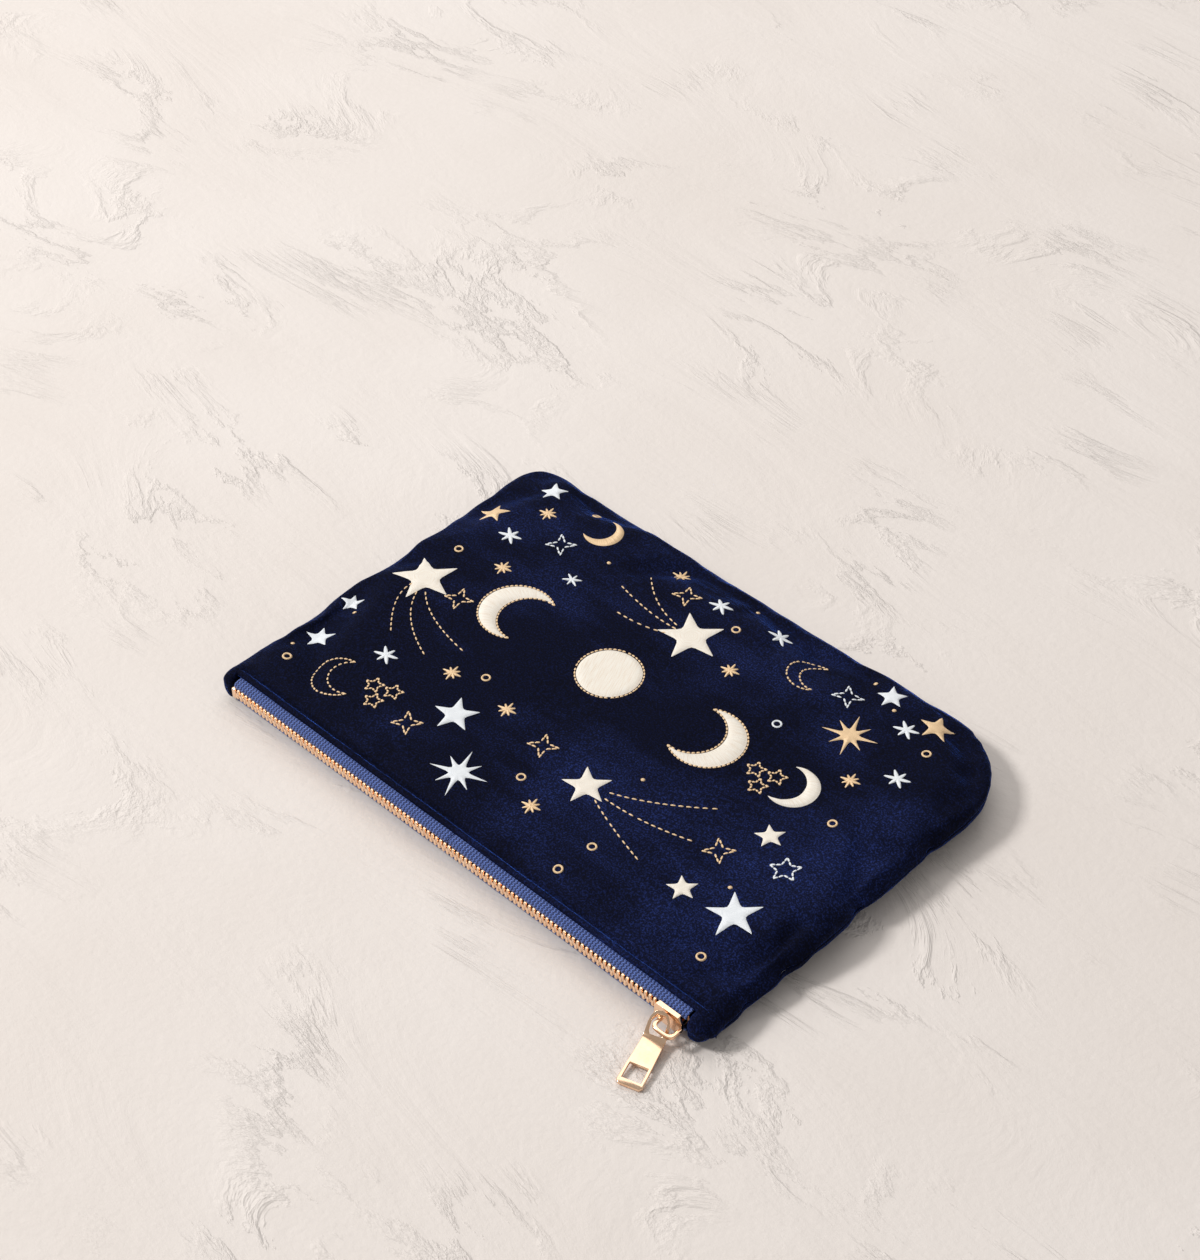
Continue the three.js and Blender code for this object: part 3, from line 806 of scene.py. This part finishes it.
def make_hardware(sizes):
    """Slider, crown, pull and stops, with the rounded edges of cast and plated metal."""
    pieces = [
        ("slider_body", "slider", 0.28 * MM, "slider_casting"),
        ("slider_crown", "slider", 0.3 * MM, "crown_arch"),
        ("pull_tab", "pull", 0.22 * MM, "pull_plate"),
        ("bottom_stop", "back", 0.3 * MM, "bottom_stop_clip"),
        ("top_stop_back", "back", 0.2 * MM, "top_stop_back_clip"),
    ]
    for node, body, edge, name in pieces:
        piece = new_piece(name, refined_copy(node, edge), "Rose gold", "rose_gold")
        piece.data.set_sharp_from_angle(angle=math.radians(62))
        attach(piece, body)
        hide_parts(node)
    bm = refined_copy("top_stop_front", 0.2 * MM)
    piece = new_piece("top_stop_front_clip", bm, "Rose gold", "rose_gold")
    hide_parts("top_stop_front")
    blend_front(piece, "right")


def make_tabs(sizes):
    """Velvet folded over each end of the zip."""
    for side, inner_x, front_y in (("left", -113.6, -85.9), ("right", 111.3, -87.0)):
        sign = -1 if side == "left" else 1
        outer_x = sign * 120.8
        low = Vector((min(inner_x, outer_x), front_y, 0.6)) * MM
        high = Vector((max(inner_x, outer_x), -75.5, 12.2)) * MM
        middle, half = (low + high) / 2, (high - low) / 2
        bm = bmesh.new()
        bmesh.ops.create_cube(bm, size=2.0)
        bmesh.ops.subdivide_edges(bm, edges=bm.edges, cuts=7, use_grid_fill=True)
        for vertex in bm.verts:
            u, v, w = vertex.co
            outward = (u * sign + 1) / 2
            power = 3.6 - 1.0 * outward
            size = (abs(u) ** power + abs(v) ** power + abs(w) ** power) ** (1 / power)
            spot = Vector((u * half.x, v * half.y, w * half.z)) / size
            spot.z -= (max(w, 0) * 1.8 + min(w, 0) * 3.2) * MM * outward ** 2
            spot.y += 1.3 * MM * outward ** 3
            wobble = noise.noise((middle + spot) / (3.6 * MM)) * 0.55 * MM
            vertex.co = middle + spot + spot.normalized() * wobble
            vertex.co.z = max(vertex.co.z, 0.3 * MM)
        piece = new_piece(f"tab_fold_{side}", bm, "Navy velvet", "velvet")
        soften(piece, 1)
        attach(piece, "back")
        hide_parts(f"end_tab_{side}")


# ---------------------------------------------------------------- embroidery
def distance_to_outline(x, y, corners):
    best = 1.0
    for (ax, ay), (bx, by) in zip(corners, corners[1:] + corners[:1]):
        dx, dy = bx - ax, by - ay
        t = ((x - ax) * dx + (y - ay) * dy) / (dx * dx + dy * dy)
        t = min(max(t, 0), 1)
        best = min(best, math.hypot(x - ax - t * dx, y - ay - t * dy))
    return best


def stitch_map(bm, place):
    """Fills the UV map: place gives metres across the threads and along them."""
    layer = bm.loops.layers.uv.verify()
    for face in bm.faces:
        centre = face.calc_center_median()
        for loop in face.loops:
            loop[layer].uv = place(loop.vert.co, centre)


def star_corners(outer, inner, points, turn, other=1.0):
    """A star's outline about its middle; every second arm is other times as long."""
    corners = []
    for i in range(2 * points):
        radius = inner if i % 2 else outer
        if i % 4 == 2:
            radius *= other
        angle = math.radians(turn) + i * math.pi / points
        corners.append((radius * math.cos(angle), radius * math.sin(angle)))
    return corners


def star(x, y, outer, inner, points=5, turn=0.0, height=0.62, cuts=5, other=1.0):
    """A satin-stitched star in mm: each arm is two banks of thread meeting on its ridge."""
    corners = [(u * MM, v * MM) for u, v in star_corners(outer, inner, points, turn, other)]
    bm = bmesh.new()
    hub = bm.verts.new((0, 0, 0))
    ring = [bm.verts.new((*corner, 0)) for corner in corners]
    for i, vertex in enumerate(ring):
        bm.faces.new((hub, vertex, ring[(i + 1) % len(ring)]))
    bmesh.ops.subdivide_edges(bm, edges=bm.edges, cuts=cuts, use_grid_fill=True)
    soft = inner * 0.42 * MM
    for vertex in bm.verts:
        inside = distance_to_outline(vertex.co.x, vertex.co.y, corners)
        vertex.co.z = height * MM * math.sqrt(min(inside / soft, 1)) - SUNK * MM
    relax(bm, "XY")

    def place(point, centre):
        step = 2 * math.pi / points
        arm = round((math.atan2(centre.y, centre.x) - math.radians(turn)) / step)
        angle = math.radians(turn) + arm * step
        along = point.x * math.cos(angle) + point.y * math.sin(angle)
        across = -point.x * math.sin(angle) + point.y * math.cos(angle)
        return along + 0.5 * abs(across), across

    stitch_map(bm, place)
    bmesh.ops.translate(bm, verts=bm.verts, vec=(x * MM, y * MM, 0))
    return bm


def swept_patch(columns, rows, place):
    """A grid bent by place, which gives a point's spot in mm and its stitch in metres."""
    bm = bmesh.new()
    bmesh.ops.create_grid(bm, x_segments=columns, y_segments=rows, size=0.5)
    layer = bm.loops.layers.uv.verify()
    where = {}
    for vertex in bm.verts:
        spot, where[vertex] = place(vertex.co.x + 0.5, vertex.co.y + 0.5)
        vertex.co = [c * MM for c in spot]
    for face in bm.faces:
        for loop in face.loops:
            loop[layer].uv = where[loop.vert]
    bmesh.ops.remove_doubles(bm, verts=bm.verts, dist=0.01 * MM)
    return bm


def moon_rims(radius, shade, offset, direction):
    """A crescent's two rims: a disc of one radius, shaded by another that is set off from it."""
    turn = math.radians(direction)
    meet = (radius ** 2 - shade ** 2 + offset ** 2) / (2 * offset)
    outer = math.acos(meet / radius)
    inner = math.acos((meet - offset) / shade)

    def at(s):
        """The outer rim's point, the inner rim's, and the angle, from horn to horn."""
        a = turn + outer + (2 * math.pi - 2 * outer) * s
        b = turn + inner + (2 * math.pi - 2 * inner) * s
        hollow = (offset * math.cos(turn) + shade * math.cos(b),
                  offset * math.sin(turn) + shade * math.sin(b))
        return (radius * math.cos(a), radius * math.sin(a)), hollow, a - turn

    return at


def crescent(x, y, radius, shade, offset, direction, height=0.8):
    """A satin-stitched moon in mm, its threads laid across it from rim to rim."""
    at = moon_rims(radius, shade, offset, direction)

    def place(s, t):
        rim, hollow, angle = at(s)
        rim, hollow = Vector(rim), Vector(hollow)
        spot = rim.lerp(hollow, t)
        width = (rim - hollow).length
        rise = min(width * 0.35, height) * math.sqrt(max(math.sin(math.pi * t), 0))
        return (x + spot.x, y + spot.y, rise - SUNK), (angle * radius * MM, t * width * MM)

    return swept_patch(32, 6, place)


def band(x, y, radius, width, height=0.45, columns=14):
    """A satin-stitched ring in mm."""

    def place(s, t):
        angle = s * 2 * math.pi
        r = radius + (t - 0.5) * width
        rise = height * math.sqrt(max(math.sin(math.pi * t), 0))
        spot = (x + r * math.cos(angle), y + r * math.sin(angle), rise - SUNK)
        return spot, (angle * radius * MM, t * width * MM)

    return swept_patch(columns, 4, place)


def disc(x, y, radius, height=0.8, cells=22):
    """A satin-stitched full moon in mm, its threads laid straight across."""
    bm = bmesh.new()
    bmesh.ops.create_grid(bm, x_segments=cells, y_segments=cells, size=1.0)
    for vertex in bm.verts:
        u, v, _ = vertex.co
        px, py = u * math.sqrt(1 - v * v / 2), v * math.sqrt(1 - u * u / 2)
        edge = 1 - math.hypot(px, py)
        rise = height * math.sqrt(min(max(edge, 0) * 6, 1)) - SUNK
        vertex.co = (px * radius * MM, py * radius * MM, rise * MM)
    stitch_map(bm, lambda point, centre: (point.x + 0.4 * point.y, point.y))
    bmesh.ops.translate(bm, verts=bm.verts, vec=(x * MM, y * MM, 0))
    return bm


def stroke(x, y, length, width, angle, height=0.45):
    """One laid stitch in mm, pointed at both ends."""
    bm = bmesh.new()
    bmesh.ops.create_uvsphere(bm, u_segments=8, v_segments=6, radius=1.0)
    turn = Matrix.Rotation(math.pi / 2, 4, "Y")
    bmesh.ops.transform(bm, matrix=turn, verts=bm.verts)
    stitch_map(bm, lambda point, centre: (point.y * width / 2 * MM, point.x * length / 2 * MM))
    size = Vector((length / 2, width / 2, height)) * MM
    bmesh.ops.scale(bm, verts=bm.verts, vec=size)
    bmesh.ops.rotate(bm, verts=bm.verts, matrix=Matrix.Rotation(math.radians(angle), 3, "Z"))
    bmesh.ops.translate(bm, verts=bm.verts, vec=(x * MM, y * MM, 0))
    return bm


def burst(x, y, size, rays, turn=0.0, width=0.9):
    """A small star of crossed stitches."""
    lines = rays // 2
    return [
        stroke(x, y, size * (1.0 if i % 2 else 1.25), width, turn + 180 * i / lines)
        for i in range(lines)
    ]


def running(points, gap=0.7, stitch=1.9, width=0.5, closed=False):
    """Stitches end to end along a line of points in mm."""
    made = []
    route = [Vector(p) for p in points]
    if closed:
        route.append(route[0])
    carried = 0.0
    for a, b in zip(route, route[1:]):
        length = (b - a).length
        angle = math.degrees(math.atan2(b.y - a.y, b.x - a.x))
        while carried + stitch / 2 <= length:
            spot = a + (b - a) * ((carried + stitch / 2) / length)
            made.append(stroke(spot.x, spot.y, stitch, width, angle, 0.35))
            carried += stitch + gap
        carried = max(carried - length, 0)
    return made


def star_outline(x, y, outer, inner, points, turn):
    corners = [(x + u, y + v) for u, v in star_corners(outer, inner, points, turn)]
    return running(corners, gap=0.1, stitch=outer * 0.32, width=0.8, closed=True)


def moon_outline(x, y, radius, shade, offset, direction):
    at = moon_rims(radius, shade, offset, direction)
    places = [at(i / 24) for i in range(25)]
    rims = [rim for rim, _, _ in places] + [hollow for _, hollow, _ in reversed(places)]
    points = [(x + u, y + v) for u, v in rims]
    return running(points, gap=0.25, stitch=1.5, width=0.75)


def tail(start, bend, end):
    """A comet's tail: a curved line of running stitch."""
    a, b, c = Vector(start), Vector(bend), Vector(end)
    points = [a.lerp(b, t).lerp(b.lerp(c, t), t) for t in (i / 14 for i in range(15))]
    return running(points, gap=0.75, stitch=2.0, width=0.62)


def lay_down(bm):
    """Drops flat embroidery onto the velvet."""
    tree = surface["tree"]
    for vertex in bm.verts:
        hit = tree.ray_cast(Vector((vertex.co.x, vertex.co.y, 60 * MM)), Vector((0, 0, -1)))
        base = hit[0].z if hit[0] else TOP_Z
        vertex.co.z += base


def add_embroidery(name, parts, thread, slot, node=None):
    """Joins stitched parts into one piece that is sewn to the front."""
    bm = bmesh.new()
    bm.loops.layers.uv.verify()
    for part in parts:
        mesh = bpy.data.meshes.new("part")
        part.to_mesh(mesh)
        part.free()
        bm.from_mesh(mesh)
        bpy.data.meshes.remove(mesh)
    lay_down(bm)
    middle = sum((v.co.x for v in bm.verts), 0.0) / len(bm.verts)
    piece = new_piece(name, bm, thread, slot)
    if node:
        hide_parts(node)
    blend_front(piece, "left" if middle < 0 else "right")


GOLD = ("Gold thread", "gold_thread")
CREAM = ("Cream gold thread", "gold_thread")
SILVER = ("Silver thread", "silver_thread")


def make_large_motifs(sizes):
    comet = dict(outer=14.6, inner=5.7)
    rays = dict(points=8, turn=20, cuts=4, other=0.78)
    motifs = [
        ("moon_left", CREAM, [crescent(-62, 11, 14.5, 12.5, 7, 0)]),
        ("moon_full", CREAM, [disc(-14, 11, 12.4)]),
        ("moon_right", CREAM, [crescent(34, 11, 14.5, 12.5, 7, 180)]),
        ("comet_left", CREAM, [star(-101, 1, turn=66, **comet)]),
        ("comet_base", CREAM, [star(-5.4, 46, turn=62, **comet)]),
        ("comet_mouth", CREAM, [star(19, -35.5, 10.4, 4.1, 5, 60)]),
        ("star_left", SILVER, [star(-39.5, -42.5, 9.8, 3.8, 5, 50)]),
        ("star_corner", SILVER, [star(96, -45, 11.4, 4.1, 5, 58)]),
        ("burst_silver", SILVER, [star(-18, -62, 13, 3.3, **rays)]),
        ("burst_gold", GOLD, [star(70, 47, 12.4, 3, **rays)]),
        ("crescent_gold", GOLD, [crescent(-69.5, 66.5, 8, 6.8, 3.6, 165)]),
        ("crescent_cream", CREAM, [crescent(71.7, 13.7, 10, 8.6, 4.6, 186)]),
    ]
    for name, (thread, slot), parts in motifs:
        add_embroidery(f"stitched_{name}", parts, thread, slot, f"embroidery_{name}")
    rims = [moon_outline(-62, 11, 14.7, 12.3, 7, 0), moon_outline(34, 11, 14.7, 12.3, 7, 180)]
    circle = [(math.cos(i * math.pi / 24), math.sin(i * math.pi / 24)) for i in range(48)]
    rims.append(running([(-14 + 12.8 * c, 11 + 12.8 * t) for c, t in circle], 0.25, 1.5, 0.7, True))
    for number, rim in enumerate(rims):
        add_embroidery(f"moon_rim_{number}", rim, GOLD[0], GOLD[1])


def make_small_motifs(sizes):
    """The scattered stars, moons, rings and knots, gathered by thread and by side."""
    gathered = {}

    def sew(kind, thread, x, parts):
        side = "left" if x < 0 else "right"
        gathered.setdefault((kind, thread, side), []).extend(parts)

    for x, y, outer in ((-101.5, 71.5, 6.5), (-114, -25, 5.5), (-108.4, -46.6, 7), (68.7, 72.7, 6.5)):
        sew("star", SILVER, x, [star(x, y, outer, outer * 0.42, 5, 50, 0.6, 4)])
    for x, y, outer in ((-110, 46.5, 7.5), (90.6, 71, 8)):
        sew("star", GOLD, x, [star(x, y, outer, outer * 0.38, 5, 40, 0.6, 4)])
    for x, y, outer in ((81.3, -9.6, 6.5), (75, -47.5, 6.5)):
        sew("star", CREAM, x, [star(x, y, outer, outer * 0.42, 5, 62, 0.6, 4)])
    sew("outline", SILVER, 1, star_outline(95.7, -18.6, 5.8, 2.7, 5, 50))
    for x, y in ((-94.5, 40.2), (-80.4, -38.6), (-8.6, 66.5), (17.4, 70.7), (83.2, 62.6), (96.6, 40.7)):
        sew("burst", SILVER, x, burst(x, y, 8.2, 6, 20, 1.7))
    sew("burst", SILVER, -1, burst(-59.4, 38.4, 6.4, 6, 35, 1.2))
    for x, y in ((-93, 59.7), (-83.3, 25.1), (-55.9, -28.5), (-27.8, -28.1), (11.7, -55.8),
                 (-32.9, 71.4), (17.1, 42.4), (84.7, 29.4)):
        sew("burst", GOLD, x, burst(x, y, 6.6, 8, 12, 1.3))
    for x, y, turn in ((-76.5, 50, 40), (56.8, 62.1, 35)):
        sew("outline", SILVER, x, star_outline(x, y, 6.2, 2, 4, turn))
    for x, y, turn in ((-82.9, 1.3, 25), (-49.1, -57.5, 40), (-5.7, -32.1, 30), (-21.6, 61.8, 30),
                       (72.9, -26.5, 42)):
        sew("outline", GOLD, x, star_outline(x, y, 6, 2, 4, turn))
    for cx, cy in ((-67.4, -53.7), (61.3, 9.9)):
        for dx, dy in ((-4.6, 1.4), (3.2, 3.6), (1, -4.4)):
            sew("outline", GOLD, cx, star_outline(cx + dx, cy + dy, 3.9, 1.8, 5, 40))
    sew("outline", GOLD, -1, moon_outline(-85, -58.5, 9.6, 8.2, 4.6, 35))
    sew("outline", GOLD, 1, moon_outline(39, 61.5, 8.4, 7.2, 4, 15))
    for x, y in ((-103.4, 21.2), (-106.9, -63.7), (-45.1, -21.7), (-0.6, -48.3), (4.2, 60.4),
                 (96.4, 57.3), (93.5, 9), (38.5, -69.9), (40.2, -55), (98.8, -64.5), (-79.9, 73.7)):
        sew("ring", GOLD, x, [band(x, y, 1.5, 0.9)])
    sew("ring", SILVER, 1, [band(47.4, 33.5, 1.6, 0.9)])
    for x, y in ((-55.9, 55.1), (-108.3, -29), (-112, -56.6), (1.7, 76), (59.3, 75), (73.7, 67.6),
                 (31.4, -19.9), (87, -36.8)):
        sew("knot", GOLD, x, [stroke(x, y, 1.7, 1.5, 30, 0.55)])
    comets = (
        ((-101, 1), (((-104, -14), (-88.6, -28.5)), ((-91, -21), (-69.6, -29)), ((-84, -15), (-60, -17.8)))),
        ((-5.4, 46), (((-20, 37), (-34.7, 37)), ((-25, 44), (-44, 49)), ((-28, 49), (-39.6, 61.2)))),
        ((19, -35.5), (((42, -27), (60.7, -11.2)), ((44, -36), (64.2, -29.1)), ((38, -44), (55.1, -48.4)))),
    )
    for (x, y), tails in comets:
        for bend, end in tails:
            first = Vector((x, y)).lerp(Vector(bend), 0.35)
            sew("tails", GOLD, x, tail(first, bend, end))
    for (kind, (thread, slot), side), parts in gathered.items():
        add_embroidery(f"small_{kind}_{slot}_{thread.split()[0].lower()}_{side}", parts, thread, slot)


# ---------------------------------------------------------------- stage
def make_stage(sizes):
    bm = bmesh.new()
    bmesh.ops.create_grid(bm, x_segments=4, y_segments=4, size=3.0)
    floor = linked_object("floor", bm)
    floor.location.z = -0.1 * MM
    floor.data.materials.append(bpy.data.materials["Plaster floor"])
    scene = bpy.context.scene

    def soft_box(name, place, size, power, color):
        data = bpy.data.lights.new(name, "AREA")
        data.shape = "RECTANGLE"
        data.size = data.size_y = size
        data.energy = power
        data.color = color
        lamp = bpy.data.objects.new(name, data)
        lamp.location = place
        lamp.rotation_euler = (-Vector(place)).to_track_quat("-Z", "Y").to_euler()
        scene.collection.objects.link(lamp)

    soft_box("key", (-1.75, -1.5, 2.15), 0.62, 66, (1.0, 0.985, 0.97))
    soft_box("fill", (-1.25, 1.1, 2.0), 2.4, 26, (1.0, 0.98, 0.965))
    world = bpy.data.worlds.new("room")
    world.use_nodes = True
    background = world.node_tree.nodes["Background"]
    background.inputs["Color"].default_value = (1.0, 0.98, 0.965, 1)
    background.inputs["Strength"].default_value = 0.37
    scene.world = world
    scene.view_settings.view_transform = "Standard"


def make_camera(view):
    data = bpy.data.cameras.new("camera")
    data.lens = view.lens
    data.sensor_width = 36
    data.clip_start = 0.05
    camera = bpy.data.objects.new("camera", data)
    around, above = view.azimuth, view.elevation
    back = Vector((math.sin(around) * math.cos(above), -math.cos(around) * math.cos(above),
                   math.sin(above)))
    camera.location = Vector(view.target) + back * view.distance
    camera.rotation_euler = (-back).to_track_quat("-Z", "Y").to_euler()
    bpy.context.scene.collection.objects.link(camera)
    bpy.context.scene.camera = camera


# ---------------------------------------------------------------- add-on
def length_prop(name, description, default):
    return bpy.props.FloatProperty(
        name=name, description=description, default=default, unit="LENGTH")


def color_prop(name, description, default):
    return bpy.props.FloatVectorProperty(
        name=name, description=description, default=default, subtype="COLOR")


class PouchSizes(bpy.types.PropertyGroup):
    """Sizes of the fabric and how the filling swells it."""

    velvet: length_prop("Velvet", "Thickness of the velvet", 0.9 * MM)
    wadding: length_prop("Wadding", "Thickness of the filling", 1.1 * MM)
    lining: length_prop("Lining", "Thickness of the lining", 0.35 * MM)
    tape: length_prop("Tape", "Thickness of the zip's tape", 0.6 * MM)
    voxel: length_prop("Quads", "Size of the form's quads", 2.8 * MM)
    furthest: length_prop("Furthest", "The most that a point may swell", 4 * MM)
    pressure: bpy.props.FloatProperty(
        name="Pressure", description="How hard the filling presses out", default=3.0)
    spare_cloth: bpy.props.FloatProperty(
        name="Spare cloth", description="Share of fabric more than the seams need",
        default=0.03, subtype="FACTOR")
    frames: bpy.props.IntProperty(
        name="Frames", description="Length of the simulation", default=20)


class PouchFinish(bpy.types.PropertyGroup):
    """Colours of the fabric and threads."""

    velvet_dark: color_prop("Velvet", "Colour of the pile seen end on", (0.0013, 0.0017, 0.0075))
    # Painted sheen: the colour mixed over the dark pile in patches and glints.
    velvet_painted_sheen: color_prop("Brushed velvet", "Colour of the pile lying over", (0.022, 0.045, 0.22))
    # Lit colour of the tape's raised threads; a painted shade colour is mixed in between them.
    tape_lit_color: color_prop("Tape", "Colour of the tape's raised threads", (0.15, 0.25, 0.70))
    gold_color: color_prop("Gold thread", "Colour of lit gold thread", (1.0, 0.74, 0.45))
    silver_color: color_prop("Silver thread", "Colour of lit silver thread", (0.95, 0.98, 1.0))


class PouchView(bpy.types.PropertyGroup):
    """Where the camera stands."""

    azimuth: bpy.props.FloatProperty(
        name="Azimuth", description="Angle round the pouch", subtype="ANGLE",
        default=math.radians(43.53))
    elevation: bpy.props.FloatProperty(
        name="Elevation", description="Angle above the floor", subtype="ANGLE",
        default=math.radians(43.13))
    distance: length_prop("Distance", "From the camera to its target", 0.982)
    lens: bpy.props.FloatProperty(
        name="Lens", description="Focal length in millimetres", default=73.8)
    target: bpy.props.FloatVectorProperty(
        name="Target", description="The point of the floor in the middle of the frame",
        subtype="TRANSLATION", default=(-0.0427, 0.0362, 0.0))


def build_operator(idname, label, doc, build, settings="pouch_sizes"):
    """An operator that runs one of the builders above with the scene's settings."""

    def execute(self, context):
        build(getattr(context.scene, settings))
        return {"FINISHED"}

    return type(
        "POUCH_OT_" + idname, (bpy.types.Operator,),
        {"bl_idname": "pouch." + idname, "bl_label": label, "__doc__": doc, "execute": execute},
    )


OPERATORS = [build_operator(*row) for row in (
    ("materials", "Materials", "Makes every material and the groups they share", make_materials,
     "pouch_finish"),
    ("camera", "Camera", "Places the camera", make_camera, "pouch_view"),
    ("stage", "Stage", "Makes the floor and the lights", make_stage),
    ("form", "Form", "Swells the shape that the fabric follows", make_form),
    ("velvet", "Velvet", "Cuts the outer panels from the form", make_velvet),
    ("wadding", "Wadding", "Adds the filling", make_wadding),
    ("lining", "Lining", "Adds the inner bag", make_lining),
    ("tapes", "Zip tapes", "Adds the woven tapes", make_tapes),
    ("teeth", "Teeth", "Adds the two rows of teeth", make_teeth),
    ("hardware", "Slider and stops", "Adds the slider, pull and stops", make_hardware),
    ("tabs", "End tabs", "Adds the velvet over the zip's ends", make_tabs),
    ("large_motifs", "Large motifs", "Sews the large motifs", make_large_motifs),
    ("small_motifs", "Small motifs", "Sews the small motifs", make_small_motifs),
)]


class POUCH_PT_panel(bpy.types.Panel):
    """Lists the pouch's sizes and the steps that build it"""

    bl_label = "Velvet zip pouch"
    bl_space_type = "VIEW_3D"
    bl_region_type = "UI"
    bl_category = "Pouch"

    def draw(self, context):
        for settings in SETTINGS:
            group = getattr(context.scene, settings)
            for name in group.__annotations__:
                self.layout.prop(group, name)
        for operator in OPERATORS:
            self.layout.operator(operator.bl_idname)


SETTINGS = {"pouch_sizes": PouchSizes, "pouch_finish": PouchFinish, "pouch_view": PouchView}
CLASSES = [*SETTINGS.values(), *OPERATORS, POUCH_PT_panel]


def register():
    for cls in CLASSES:
        bpy.utils.register_class(cls)
    for name, group in SETTINGS.items():
        setattr(bpy.types.Scene, name, bpy.props.PointerProperty(type=group))


def unregister():
    for name in SETTINGS:
        delattr(bpy.types.Scene, name)
    for cls in reversed(CLASSES):
        bpy.utils.unregister_class(cls)


def main():
    register()
    for operator in OPERATORS:
        section, name = operator.bl_idname.split(".")
        getattr(getattr(bpy.ops, section), name)()


if __name__ == "__main__":
    main()
